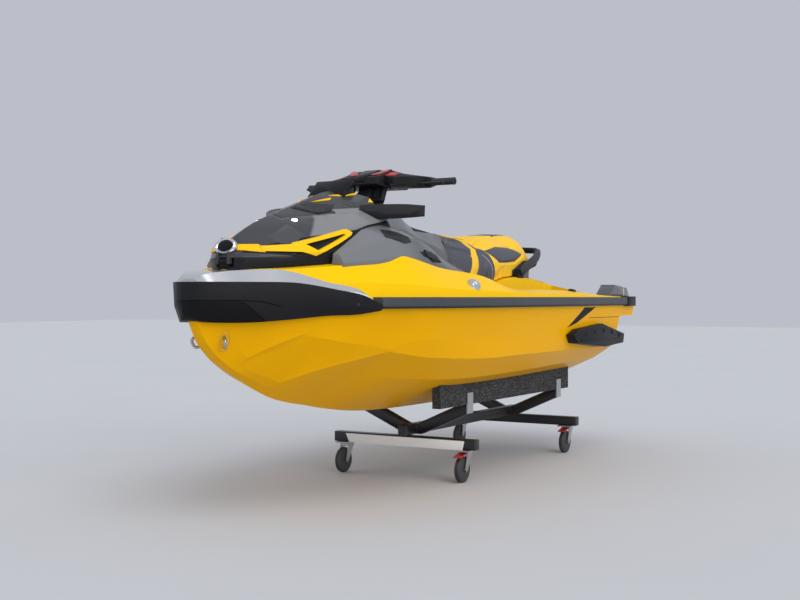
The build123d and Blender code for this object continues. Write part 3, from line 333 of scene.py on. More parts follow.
def inside(tree: Tree, corners: Sequence[tuple[float, float]], soft: float = 0.001) -> Socket:
    """Mask of a convex outline in the side view.

    Args:
        tree: The material's tree.
        corners: (x, z) corners, anticlockwise as seen with +X to the right and +Z up.
        soft: Width of the edge in metres.

    Returns:
        1 inside the outline and 0 outside.
    """
    x, _, z = tree.axes()
    mask: Socket | None = None
    for (x1, z1), (x2, z2) in zip(corners, [*corners[1:], corners[0]]):
        run, rise = x2 - x1, z2 - z1
        length = math.hypot(run, rise)
        distance = (z - z1) * (run / length) - (x - x1) * (rise / length)
        edge = distance.step(-soft, soft)
        mask = edge if mask is None else mask.least(edge)
    return mask


@dataclass(frozen=True)
class HullGelcoat(Finish):
    """Yellow gelcoat of the hull, amber below about 0.8 m as painted shade, with the black arrow of the quarter and a
    thin black line.
    """

    def tone(self, tree: Tree) -> Socket:
        """Mixes the colour.

        Args:
            tree: The material's tree.

        Returns:
            The colour.
        """
        arrow = inside(tree, ((-0.615, 0.724), (-0.79, 0.83), (-0.955, 0.83), (-0.73, 0.748)))
        stripe = inside(tree, ((-0.89, 0.7715), (-0.89, 0.7745), (-1.38, 0.7735), (-1.38, 0.7705)))
        _, y, z = tree.axes()
        # Painted shade: the hull turns from yellow above 0.88 m to amber below 0.80 m.
        body = tree.mix(z.step(0.80, 0.88), AMBER_SHADE, self.colour)
        return tree.mix(arrow.most(stripe) * (y.size() > 0.55), body, BLACK)


@dataclass(frozen=True)
class BumperPlastic(Finish):
    """Moulded black of the bumper with sunk lines; the front below its panel line is painted darker as shade, so the
    part above looks paler.
    """

    def build(self) -> bpy.types.Material:
        """Builds the material.

        Returns:
            The material.
        """
        tree = Tree(self.name)
        x, _, z = tree.axes()
        slope = (1.6 - x).most(0.0)
        level = 0.872 - slope * 0.09 - (slope - 0.067).most(0.0) * 0.2
        side = ((z - level).size() - 0.0022).step(0.0008, -0.0008) * (x - 1.455).step(0.0, 0.03)
        corner = 1.602 - (0.870 - z) * 1.19
        rise = ((x - corner).size() - 0.0028).step(0.0008, -0.0008) * (0.866 - z).step(0.0, 0.002)
        groove = side.most(rise)
        # Painted shade: the front below the panel line takes 0.45 of the black.
        low = (level - z).step(0.0, 0.002) * (x - corner).step(0.0, 0.002)
        tone = tree.mix(low, self.colour, tint(self.colour, 0.45))
        tone = tree.mix(groove, tone, (0.004, 0.004, 0.004))
        normal = tree.bump(1.0 - groove, 0.003, tree.bump(tree.noise(self.size, 2.0), self.depth))
        rough = tree.noise(0.05, 3.0) * 0.12 + self.roughness
        return tree.done(Base_Color=tone, Roughness=rough, Specular_IOR_Level=self.specular, Normal=normal)


@dataclass(frozen=True)
class DeckFoam(Finish):
    """Foam matting, scored in a grid of diamonds."""

    def build(self) -> bpy.types.Material:
        """Builds the material.

        Returns:
            The material.
        """
        tree = Tree(self.name)
        x, y, _ = tree.axes()
        pitch = 2 * math.pi / self.size
        grooves = ((x + y) * pitch).wave().size().least(((x - y) * pitch).wave().size())
        pad = grooves.step(0.10, 0.28)
        crumb = tree.mix(tree.noise(0.003, 2.0), self.colour, tint(self.colour, 1.5))
        tone = tree.mix(pad, tint(self.colour, 0.35), crumb)
        normal = tree.bump(pad, self.depth, tree.bump(tree.noise(0.002, 3.0), 0.0003))
        return tree.done(Base_Color=tone, Roughness=tree.noise(0.05) * 0.1 + self.roughness, Normal=normal)


@dataclass(frozen=True)
class Carpet(Finish):
    """Speckled carpet of the bunks."""

    def tone(self, tree: Tree) -> Socket:
        """Mixes the colour.

        Args:
            tree: The material's tree.

        Returns:
            The colour.
        """
        fleck = tree.noise(0.007, 5.0).step(0.50, 0.60)
        tone = tree.mix(fleck, self.colour, tint(self.colour, 4.5))
        return tree.mix(tree.noise(0.06, 3.0) * 0.5, tone, tint(self.colour, 0.6))


@dataclass(frozen=True)
class FrontVinyl(Finish):
    """Dark vinyl of the driver's seat with the yellow band of its rear edge."""

    def tone(self, tree: Tree) -> Socket:
        """Mixes the colour.

        Args:
            tree: The material's tree.

        Returns:
            The colour.
        """
        x, _, z = tree.axes()
        ahead = (x + (z - 1.012) * 0.45 + 0.200).step(0.0012, -0.0012)
        behind = (x + (z - 1.05) * 0.43 + 0.271).step(-0.0012, 0.0012)
        return tree.mix(ahead * behind, self.colour, YELLOW)


@dataclass(frozen=True)
class RearVinyl(Finish):
    """Vinyl of the passenger's seat: dark centre and front, yellow shoulders, pale seam."""

    def tone(self, tree: Tree) -> Socket:
        """Mixes the colour.

        Args:
            tree: The material's tree.

        Returns:
            The colour.
        """
        x, y, _ = tree.axes()
        nose = inside(
            tree, ((-0.30, 0.90), (-0.30, 1.25), (-0.39, 1.25), (-0.415, 1.125), (-0.505, 1.066), (-0.512, 0.90)),
        )
        pad = inside(tree, (
            (-0.53, 1.152), (-0.68, 1.152), (-0.815, 1.12), (-0.69, 1.078), (-0.60, 1.07), (-0.50, 1.066),
            (-0.41, 1.127),
        ))
        centre = (y.size() - 0.104).step(0.0012, -0.0012) * (x + 0.66).step(0.0012, -0.0012)
        tail = inside(tree, ((-0.66, 0.90), (-0.66, 1.03), (-0.80, 1.085), (-1.10, 1.09), (-1.10, 0.90)))
        dark = nose.most(pad).most(centre).most(tail)
        seam, width = ((-0.345, 1.14), (-0.386, 1.088), (-0.412, 1.035), (-0.430, 0.95)), 0.006
        first, second, third = (
            inside(tree, ((x1, z1), (x1 - width, z1), (x2 - width, z2), (x2, z2)))
            for (x1, z1), (x2, z2) in zip(seam, seam[1:])
        )
        lines = first.most(second).most(third)
        cloth = tree.mix(dark, YELLOW, self.colour)
        return tree.mix(lines * nose, cloth, (0.22, 0.23, 0.26))


@dataclass(frozen=True)
class TwoToneAndPaintedLight(Finish):
    """Paint with a second tone inside a convex outline of the side view; on the hood, cowl and side panels that second
    tone is painted light and shade.

    Attributes:
        second: Linear colour inside the outline.
        outline: Its (x, z) corners, anticlockwise.
        soft: Half width of its edge in metres.
    """

    second: Colour = BLACK
    outline: tuple[tuple[float, float], ...] = ()
    soft: float = 0.001

    def tone(self, tree: Tree) -> Socket:
        """Returns the colour."""
        return tree.mix(inside(tree, self.outline, self.soft), self.colour, self.second)


@dataclass(frozen=True)
class SternPaint(Finish):
    """Grey paint of the stern fins, with their yellow front edge and thin yellow line."""

    def tone(self, tree: Tree) -> Socket:
        """Mixes the colour.

        Args:
            tree: The material's tree.

        Returns:
            The colour.
        """
        x, y, _ = tree.axes()
        front = (y.size() - 0.424).step(0.001, -0.001) * (x + 1.41).step(-0.001, 0.001)
        line = ((x + 1.549).size() - 0.005).step(0.0008, -0.0008)
        paint = tree.mix((x + 1.56).step(0.001, -0.001), self.colour, BLACK)
        return tree.mix(front.most(line), paint, YELLOW)


@dataclass(frozen=True)
class GlintGlow(Finish):
    """Glowing lens that shines though it is no lamp, a painted glint of the sun."""

    def build(self) -> bpy.types.Material:
        """Builds the material.

        Returns:
            The material.
        """
        tree = Tree(self.name)
        glow = tree.mix(tree.noise(0.004, 1.0), (1.0, 1.0, 1.0), (0.9, 0.95, 1.0))
        return tree.done(
            Base_Color=glow, Roughness=0.05, Emission_Color=glow, Emission_Strength=3.0, Coat_Weight=1.0,
        )


# Painted sheen: pale grey for the lit sides of the hood and cowl.
HOOD_SHEEN_GREY: Colour = (0.19, 0.193, 0.205)
SEAT_COLOUR: Colour = (0.062, 0.065, 0.086)
VINYL = {"grain": Grain.VINYL, "size": 0.003, "depth": 0.0003}

FINISH_LIST: tuple[Finish, ...] = (
    HullGelcoat("yellow_gelcoat", YELLOW, 0.3, coat=0.015, fade=0.02, smear=0.03, specular=0.03),
    Finish("black_plastic", (0.013, 0.013, 0.015), 0.42, specular=0.12, grain=Grain.PEBBLE, size=0.0015, depth=0.00012),
    Finish("silver_plastic", (0.52, 0.53, 0.55), 0.25, metallic=0.6, coat=0.8, fade=0.02),
    Finish("black_rubber", (0.030, 0.032, 0.036), 0.5, specular=0.3, grain=Grain.PEBBLE, size=0.001, depth=0.0001),
    Finish("grey_gloss", (0.088, 0.09, 0.10), 0.32, coat=0.35, fade=0.03, specular=0.35),
    Finish("black_gloss", (0.007, 0.007, 0.008), 0.25, coat=0.06, specular=0.15),
    Finish("lens", (0.04, 0.041, 0.046), 0.2, coat=0.4, fade=0.02),
    # Painted glint: this lens glows though it is no lamp.
    GlintGlow("bright_lens", (1.0, 1.0, 1.0), 0.05),
    Finish("yellow_plastic", YELLOW, 0.3, coat=0.04, fade=0.02, specular=0.1),
    Finish("chrome", (0.8, 0.81, 0.83), 0.12, metallic=1.0, smear=0.04),
    Finish("metallic_grey", (0.17, 0.18, 0.195), 0.3, metallic=0.3, coat=0.5, fade=0.04),
    SternPaint("stern_paint", (0.06, 0.063, 0.07), 0.3, coat=0.8, fade=0.04),
    Finish("mirror", (0.9, 0.91, 0.92), 0.02, metallic=1.0, smear=0.01),
    Finish("dark_metal", (0.02, 0.02, 0.022), 0.4),
    Finish("seat_vinyl", (0.06, 0.064, 0.085), 0.45, **VINYL),
    FrontVinyl("front_vinyl", SEAT_COLOUR, 0.45, **VINYL),
    RearVinyl("rear_vinyl", SEAT_COLOUR, 0.45, **VINYL),
    DeckFoam("foam_mat", (0.045, 0.046, 0.05), 0.75, size=0.10, depth=0.002),
    Finish("aluminium", (0.45, 0.46, 0.47), 0.4, metallic=1.0, grain=Grain.CAST, size=0.003, depth=0.0003),
    Finish("steel", (0.5, 0.5, 0.5), 0.32, metallic=1.0, grain=Grain.BRUSHED, size=0.002, depth=0.0001),
    Finish("engine_metal", (0.05, 0.05, 0.055), 0.5, grain=Grain.CAST),
    Finish("black_steel", (0.012, 0.012, 0.013), 0.33, grain=Grain.PEBBLE, size=0.004, depth=0.00015),
    Carpet("bunk_carpet", (0.022, 0.023, 0.025), 0.95, grain=Grain.CARPET, size=0.006, depth=0.003),
    # Painted sheen: the hood's side inside the outline is lighter only as its lit side.
    TwoToneAndPaintedLight(
        "hood_paint", (0.042, 0.043, 0.048), 0.3, coat=0.2, fade=0.03, specular=0.25, second=HOOD_SHEEN_GREY, soft=0.004,
        outline=((0.60, 1.08), (1.215, 1.125), (1.045, 1.245), (0.60, 1.27)),
    ),
    # Painted sheen: the strip low on the cowl's sides is lighter only as its lit side.
    TwoToneAndPaintedLight(
        "cowl_paint", (0.032, 0.032, 0.035), 0.34, coat=0.15, fade=0.03, specular=0.25, second=HOOD_SHEEN_GREY,
        outline=((0.60, 1.18), (1.03, 1.18), (0.965, 1.258), (0.60, 1.292)),
    ),
    # Painted light: the side panels run from a paler front, a painted highlight, to a darker rear, painted shade beside
    # the seat.
    TwoToneAndPaintedLight(
        "side_paint", (0.175, 0.18, 0.19), 0.3, metallic=0.2, coat=0.25, fade=0.04,
        second=(0.055, 0.066, 0.073), soft=0.16, outline=((-0.60, 0.5), (0.74, 0.5), (0.70, 1.6), (-0.60, 1.6)),
    ),
    TwoToneAndPaintedLight(
        "rail_plastic", (0.047, 0.052, 0.058), 0.45, grain=Grain.PEBBLE, size=0.001, depth=0.0001, specular=0.35,
        second=(0.011, 0.011, 0.012), outline=((-2.0, 0.80), (2.0, 0.80), (2.0, 0.8475), (-2.0, 0.8475)),
    ),
    Finish("screen_glass", (0.008, 0.010, 0.014), 0.08, coat=1.0, smear=0.02),
    # Painted shade: a black sheet for the shade inside the side scoop's recess.
    Finish("scoop_black", (0.022, 0.023, 0.026), 0.4, coat=0.1, specular=0.2),
    # Painted shade: the same amber as the lower hull's painted shade.
    Finish("eye_gelcoat", (0.84, 0.42, 0.002), 0.3, coat=0.3, fade=0.03, specular=0.3),
    BumperPlastic("bumper_plastic", (0.014, 0.014, 0.016), 0.36, specular=0.1, size=0.0015, depth=0.0001),
    Finish("wheel_rubber", (0.035, 0.035, 0.037), 0.6, grain=Grain.PEBBLE, size=0.003, depth=0.0002),
    Finish("red_plastic", (0.35, 0.012, 0.012), 0.35, coat=0.4),
    Finish("white_tape", (0.75, 0.75, 0.75), 0.45),
    Finish("hub_metal", (0.35, 0.35, 0.36), 0.35, metallic=1.0),
)
FINISHES: dict[str, Finish] = {finish.name: finish for finish in FINISH_LIST}


class Paints:
    """Makes each finish once and hands out its material."""

    def __init__(self) -> None:
        """Starts with nothing made."""
        self.made: dict[str, bpy.types.Material] = {}

    def __getitem__(self, name: str) -> bpy.types.Material:
        """Returns the material of a finish, made on first use."""
        if name not in self.made:
            self.made[name] = FINISHES[name].build()
        return self.made[name]

    def dress(self, thing: bpy.types.Object, name: str) -> None:
        """Gives a whole object one finish.

        Args:
            thing: The object.
            name: Name of the finish.
        """
        if not thing.data.materials:
            thing.data.materials.append(self[name])
        for slot in thing.material_slots:
            slot.material = self[name]


PAINTS = Paints()

SLOTS = {entry["slot"] for entry in frame["record"]["materials"]}


# Modelling


class View(Enum):
    """Views that a flat outline can be drawn in, by the two axes that it uses."""

    SIDE = (0, 2)
    TOP = (0, 1)


Test = Callable[[Vector, Vector], bool]

FLAT_ANGLE = 0.4  # degrees between faces that count as one
WELD = 0.00001  # metres between points that count as one
COPY_WELD = 0.00002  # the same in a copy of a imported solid


def take(thing: bpy.types.Object) -> None:
    """Makes one object the only one selected.

    Args:
        thing: The object.
    """
    bpy.ops.object.select_all(action="DESELECT")
    thing.select_set(True)
    bpy.context.view_layer.objects.active = thing


@contextmanager
def editing(thing: bpy.types.Object) -> Iterator[None]:
    """Holds one object in edit mode, with all of it selected.

    Args:
        thing: The object.
    """
    take(thing)
    bpy.context.tool_settings.mesh_select_mode = (True, False, False)
    bpy.ops.object.mode_set(mode="EDIT")
    bpy.ops.mesh.select_all(action="SELECT")
    yield
    bpy.ops.object.mode_set(mode="OBJECT")


def face_out() -> None:
    """Turns the normals of the mesh in edit mode outward."""
    bpy.ops.mesh.select_all(action="SELECT")
    bpy.ops.mesh.normals_make_consistent(inside=False)


def named(thing: bpy.types.Object, name: str) -> bpy.types.Object:
    """Names an object and its mesh.

    Args:
        thing: The object.
        name: The name.

    Returns:
        The object.
    """
    thing.name = name
    thing.data.name = name
    return thing


def apply(thing: bpy.types.Object, kind: str, **settings: object) -> None:
    """Adds a modifier and applies it.

    Args:
        thing: The object.
        kind: Blender's name of the modifier type.
        settings: Its properties.
    """
    take(thing)
    modifier = thing.modifiers.new("step", kind)
    for key, value in settings.items():
        setattr(modifier, key, value)
    bpy.ops.object.modifier_apply(modifier=modifier.name)


def drop(thing: bpy.types.Object, test: Test) -> None:
    """Deletes faces.

    Args:
        thing: The object.
        test: Takes a face's middle and normal, and tells whether it goes.
    """
    take(thing)
    marks = [test(face.center, face.normal) for face in thing.data.polygons]
    bpy.context.tool_settings.mesh_select_mode = (False, False, True)
    bpy.ops.object.mode_set(mode="EDIT")
    bpy.ops.mesh.select_all(action="DESELECT")
    bpy.ops.object.mode_set(mode="OBJECT")
    thing.data.polygons.foreach_set("select", marks)
    bpy.ops.object.mode_set(mode="EDIT")
    bpy.ops.mesh.delete(type="FACE")
    bpy.ops.object.mode_set(mode="OBJECT")


def copy_of(node: str, name: str) -> bpy.types.Object:
    """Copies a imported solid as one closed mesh.

    Args:
        node: Name of the node.
        name: Name of the copy.

    Returns:
        The copy.
    """
    thing = bpy.data.objects.new(name, frame["nodes"][node].data.copy())
    thing.data.name = name
    thing.data.materials.clear()
    bpy.context.collection.objects.link(thing)
    with editing(thing):
        bpy.ops.mesh.remove_doubles(threshold=COPY_WELD)
    return thing


def rounded(node: str, width: float) -> bpy.types.Object:
    """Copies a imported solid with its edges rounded.

    Args:
        node: Name of the node.
        width: Width of the rounding in metres.

    Returns:
        The rounded copy.
    """
    thing = copy_of(node, node + "_moulded")
    with editing(thing):
        bpy.ops.mesh.dissolve_limited(angle_limit=math.radians(FLAT_ANGLE))
    bevel(thing, width, 24)
    smooth(thing, 40)
    return thing


def smooth(thing: bpy.types.Object, angle: float = 35.0) -> None:
    """Shades an object smooth but for its sharp edges."""
    take(thing)
    bpy.ops.object.shade_smooth_by_angle(angle=math.radians(angle))


def bevel(thing: bpy.types.Object, width: float, angle: float, segments: int = 2) -> None:
    """Rounds the edges that are sharper than an angle in degrees."""
    apply(thing, "BEVEL", width=width, segments=segments, limit_method="ANGLE", angle_limit=math.radians(angle))


def both_sides(thing: bpy.types.Object) -> bpy.types.Object:
    """Adds the mirror image of an object across the centre plane."""
    apply(thing, "MIRROR", use_axis=(False, True, False), use_mirror_merge=False)
    return thing


def circle(count: int) -> list[tuple[float, float]]:
    """Returns the cosine and sine of each of count even turns."""
    turns = [2 * math.pi * number / count for number in range(count)]
    return [(math.cos(turn), math.sin(turn)) for turn in turns]


def centre_of(node: str) -> Point:
    """Returns the middle of a node's box."""
    low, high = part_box(node)
    return tuple((low[i] + high[i]) / 2 for i in range(3))


def skin(name: str, rows: Sequence[Sequence[Point]]) -> bpy.types.Object:
    """Bends a grid into a closed skin over rings of points.

    Args:
        name: Name of the piece.
        rows: Rings of points, as many in each.

    Returns:
        The piece.
    """
    count = len(rows[0])
    columns = count + 1
    bpy.ops.object.select_all(action="DESELECT")
    bpy.ops.mesh.primitive_grid_add(x_subdivisions=count, y_subdivisions=len(rows) - 1, size=1)
    thing = named(bpy.context.object, name)
    for number, vertex in enumerate(thing.data.vertices):
        row, column = divmod(number, columns)
        vertex.co = rows[row][column % count]
    with editing(thing):
        bpy.ops.mesh.remove_doubles(threshold=WELD)
        bpy.ops.mesh.select_all(action="SELECT")
        bpy.ops.mesh.fill_holes(sides=0)
        face_out()
    return thing


def turned(
    name: str, profile: Sequence[tuple[float, float]], foot: Point, axis: Point, count: int = 32,
) -> bpy.types.Object:
    """Turns a profile about an axis.

    Args:
        name: Name of the piece.
        profile: (distance along the axis, radius) points from one end to the other.
        foot: Where the axis starts.
        axis: Its direction.
        count: Faces round it.

    Returns:
        The piece.
    """
    along = Vector(axis).normalized()
    one = along.orthogonal().normalized()
    two = along.cross(one)
    thing = skin(name, [
        [Vector(foot) + along * distance + (one * across + two * rise) * radius for across, rise in circle(count)]
        for distance, radius in profile
    ])
    smooth(thing)
    return thing


def tube(name: str, points: Sequence[Point], radius: float) -> bpy.types.Object:
    """Draws a round bar along a smooth line.

    Args:
        name: Name of the piece.
        points: Points that steer the line.
        radius: Radius of the bar.

    Returns:
        The piece.
    """
    bpy.ops.object.select_all(action="DESELECT")
    bpy.ops.curve.primitive_nurbs_path_add()
    data = bpy.context.object.data
    data.splines.clear()
    spline = data.splines.new("NURBS")
    spline.points.add(len(points) - 1)
    for knot, point in zip(spline.points, points):
        knot.co = (*point, 1.0)
    spline.order_u = 3
    spline.use_endpoint_u = True
    data.resolution_u = 8
    data.bevel_depth = radius
    data.bevel_resolution = 4
    data.use_fill_caps = True
    take(bpy.context.object)
    bpy.ops.object.convert(target="MESH")
    thing = named(bpy.context.object, name)
    with editing(thing):
        bpy.ops.mesh.remove_doubles(threshold=WELD)
        bpy.ops.mesh.normals_make_consistent(inside=False)
    smooth(thing)
    return thing


def slab(name: str, corners: Sequence[Point], thickness: float, edge: float) -> bpy.types.Object:
    """Builds a flat plate from its outline.

    Args:
        name: Name of the piece.
        corners: Corners of the outline, in order.
        thickness: Thickness towards the outline's normal, or away from it below zero.
        edge: Width of the rounding of its edges.

    Returns:
        The plate.
    """
    bpy.ops.object.select_all(action="DESELECT")
    bpy.ops.mesh.primitive_circle_add(vertices=len(corners), radius=1, fill_type="NGON")
    thing = named(bpy.context.object, name)
    for vertex, corner in zip(thing.data.vertices, corners):
        vertex.co = corner
    apply(thing, "SOLIDIFY", thickness=abs(thickness), offset=math.copysign(1.0, thickness))
    bevel(thing, edge, 30)
    smooth(thing)
    return thing


def joined(name: str, things: Sequence[bpy.types.Object]) -> bpy.types.Object:
    """Joins objects to one.

    Args:
        name: Name of the whole.
        things: The objects.

    Returns:
        The joined object.
    """
    bpy.ops.object.select_all(action="DESELECT")
    for thing in things:
        thing.select_set(True)
    bpy.context.view_layer.objects.active = things[0]
    bpy.ops.object.join()
    return named(bpy.context.object, name)


def fit(thing: bpy.types.Object, finish: str, body: str, *nodes: str) -> bpy.types.Object:
    """Finishes a piece: its material, its body and the nodes that it stands for.

    Args:
        thing: The piece.
        finish: Name of its finish.
        body: Name of the body that it moves with.
        nodes: The nodes that it replaces.

    Returns:
        The piece.
    """
    PAINTS.dress(thing, finish)
    finish in SLOTS
    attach(thing, body)
    if nodes:
        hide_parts(*nodes)
    LOG.info("built %s in %s on %s", thing.name, finish, body)
    return thing


def fit_pair(thing: bpy.types.Object, finish: str, body: str, *nodes: str) -> None:
    """Mirrors a piece across the centre plane and finishes the pair as fit does."""
    fit(both_sides(thing), finish, body, *nodes)


@dataclass(frozen=True)
class Panel:
    """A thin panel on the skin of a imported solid.

    Attributes:
        name: Name of the panel.
        node: The node whose skin it follows.
        finish: Name of its finish.
        body: Name of the body that it moves with.
        corners: Corners of its convex outline in the view.
        view: The view that the outline is drawn in.
        tilt: How far a face has to look towards the eye of the view.
        start: Least y of a face's middle.
        wall: Height above the skin.
        paired: Whether its mirror image is added.
        sink: How far its underside lies below the skin.
    """

    name: str
    node: str
    finish: str
    body: str
    corners: tuple[tuple[float, float], ...]
    view: View = View.SIDE
    tilt: float = 0.3
    start: float = 0.0
    wall: float = 0.0015
    paired: bool = True
    sink: float = 0.0006

    def cut(self) -> None:
        """Cuts the mesh in edit mode to the outline."""
        first, second = self.view.value
        middle = Vector([sum(corner[i] for corner in self.corners) / len(self.corners) for i in (0, 1)])
        for one, two in zip(self.corners, [*self.corners[1:], self.corners[0]]):
            across = Vector((two[1] - one[1], one[0] - two[0]))
            if across.dot(middle - Vector(one)) > 0:
                across = -across
            place, normal = [0.0, 0.0, 0.0], [0.0, 0.0, 0.0]
            place[first], place[second] = one
            normal[first], normal[second] = across.normalized()
            bpy.ops.mesh.select_all(action="SELECT")
            bpy.ops.mesh.bisect(plane_co=place, plane_no=normal, clear_outer=True, clear_inner=False)

    def build(self) -> None:
        """Builds the panel."""
        thing = copy_of(self.node, self.name)
        toward = 3 - sum(self.view.value)
        drop(thing, lambda middle, normal: normal[toward] <= self.tilt or middle.y <= self.start)
        with editing(thing):
            self.cut()
            bpy.ops.mesh.select_all(action="SELECT")
            bpy.ops.mesh.dissolve_limited(angle_limit=math.radians(FLAT_ANGLE))
            bpy.ops.transform.shrink_fatten(value=-self.sink)
        apply(thing, "SOLIDIFY", thickness=self.wall + self.sink, offset=1.0, use_even_offset=True)
        bevel(thing, self.wall * 0.45, 50)
        smooth(thing)
        fit(both_sides(thing) if self.paired else thing, self.finish, self.body)


SKINS: dict[str, BVHTree] = {}


def nearest(node: str, point: Vector) -> tuple[Vector, Vector]:
    """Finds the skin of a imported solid.

    Args:
        node: Name of the node.
        point: A point near it.

    Returns:
        The nearest point of the skin and its outward normal there.
    """
    if node not in SKINS:
        mesh = frame["nodes"][node].data
        SKINS[node] = BVHTree.FromPolygons([v.co for v in mesh.vertices], [f.vertices for f in mesh.polygons])
    place, out, _, _ = SKINS[node].find_nearest(point)
    return place, out


# Seats


@dataclass(frozen=True)
class Crease:
    """A sewn line in a seat.

    Attributes:
        points: Corners of the line in its view.
        view: View of the line.
        depth: Depth of the groove in metres.
        width: Half width of the groove.
        start: Least |y| that it runs over.
    """

    points: tuple[tuple[float, float], ...]
    view: View = View.SIDE
    depth: float = 0.005
    width: float = 0.007
    start: float = 0.0

    def depth_at(self, point: Vector) -> float:
        """Measures the groove.

        Args:
            point: A point of the cover.

        Returns:
            How deep the groove is there, in metres.
        """
        if abs(point.y) < self.start:
            return 0.0
        place = Vector((point.x, abs(point.y) if self.view is View.TOP else point.z))
        near = 1.0
        for one, two in zip(self.points, self.points[1:]):
            start, run = Vector(one), Vector(two) - Vector(one)
            share = max(0.0, min(1.0, (place - start).dot(run) / run.length_squared))
            near = min(near, (place - start - run * share).length)
        return self.depth * math.exp(-((near / self.width) ** 2))


@dataclass
class Cushion:
    """One padded seat: its solid is filled out like a stuffed cover, then sewn down along its seams."""

    node: str
    finish: str
    creases: tuple[Crease, ...]
    voxel: float = 0.006
    shrink: float = 0.004
    cap: float = 0.009
    pressure: float = 4.0
    held_height: float = 0.012
    frames: int = 20

    def inflate(self, thing: bpy.types.Object) -> None:
        """Runs the cloth under pressure, with the foot of the cover held.

        Args:
            thing: The remeshed cover, with its vertex group "foot".
        """
        take(thing)
        cloth = thing.modifiers.new("fill", "CLOTH")
        cloth.settings.use_pressure = True
        cloth.settings.uniform_pressure_force = self.pressure
        cloth.settings.effector_weights.gravity = 0.0
        cloth.settings.vertex_group_mass = "foot"
        cloth.settings.quality = 4
        cloth.settings.time_scale = 1.0
        cloth.point_cache.frame_start = 1
        cloth.point_cache.frame_end = self.frames
        for number in range(1, self.frames + 1):
            bpy.context.scene.frame_set(number)
        bpy.ops.object.modifier_apply(modifier=cloth.name)
        bpy.context.scene.frame_set(1)

    def swell(self, thing: bpy.types.Object) -> None:
        """Blows the cover out and holds it to the cap.

        Args:
            thing: The remeshed cover.
        """
        rest = [vertex.co.copy() for vertex in thing.data.vertices]
        with editing(thing):
            bpy.ops.transform.shrink_fatten(value=-self.shrink)
        foot = min(point.z for point in rest) + self.held_height
        held = thing.vertex_groups.new(name="foot")
        held.add([number for number, point in enumerate(rest) if point.z < foot], 1.0, "ADD")
        self.inflate(thing)
        for vertex, point in zip(thing.data.vertices, rest):
            shift = vertex.co - point
            if shift.length > self.cap:
                vertex.co = point + shift * (self.cap / shift.length)

    def sew(self, thing: bpy.types.Object) -> None:
        """Presses the seams in."""
        normals = [vertex.normal.copy() for vertex in thing.data.vertices]
        for vertex, normal in zip(thing.data.vertices, normals):
            vertex.co -= normal * sum(crease.depth_at(vertex.co) for crease in self.creases)

    def build(self) -> None:
        """Builds the cover."""
        thing = copy_of(self.node, self.node + "_cover")
        apply(thing, "REMESH", mode="VOXEL", voxel_size=self.voxel, use_smooth_shade=True)
        apply(thing, "SMOOTH", factor=0.6, iterations=4)
        self.swell(thing)
        apply(thing, "SUBSURF", levels=1, render_levels=1)
        self.sew(thing)
        take(thing)
        bpy.ops.object.shade_smooth()
        fit(thing, self.finish, "craft", self.node)


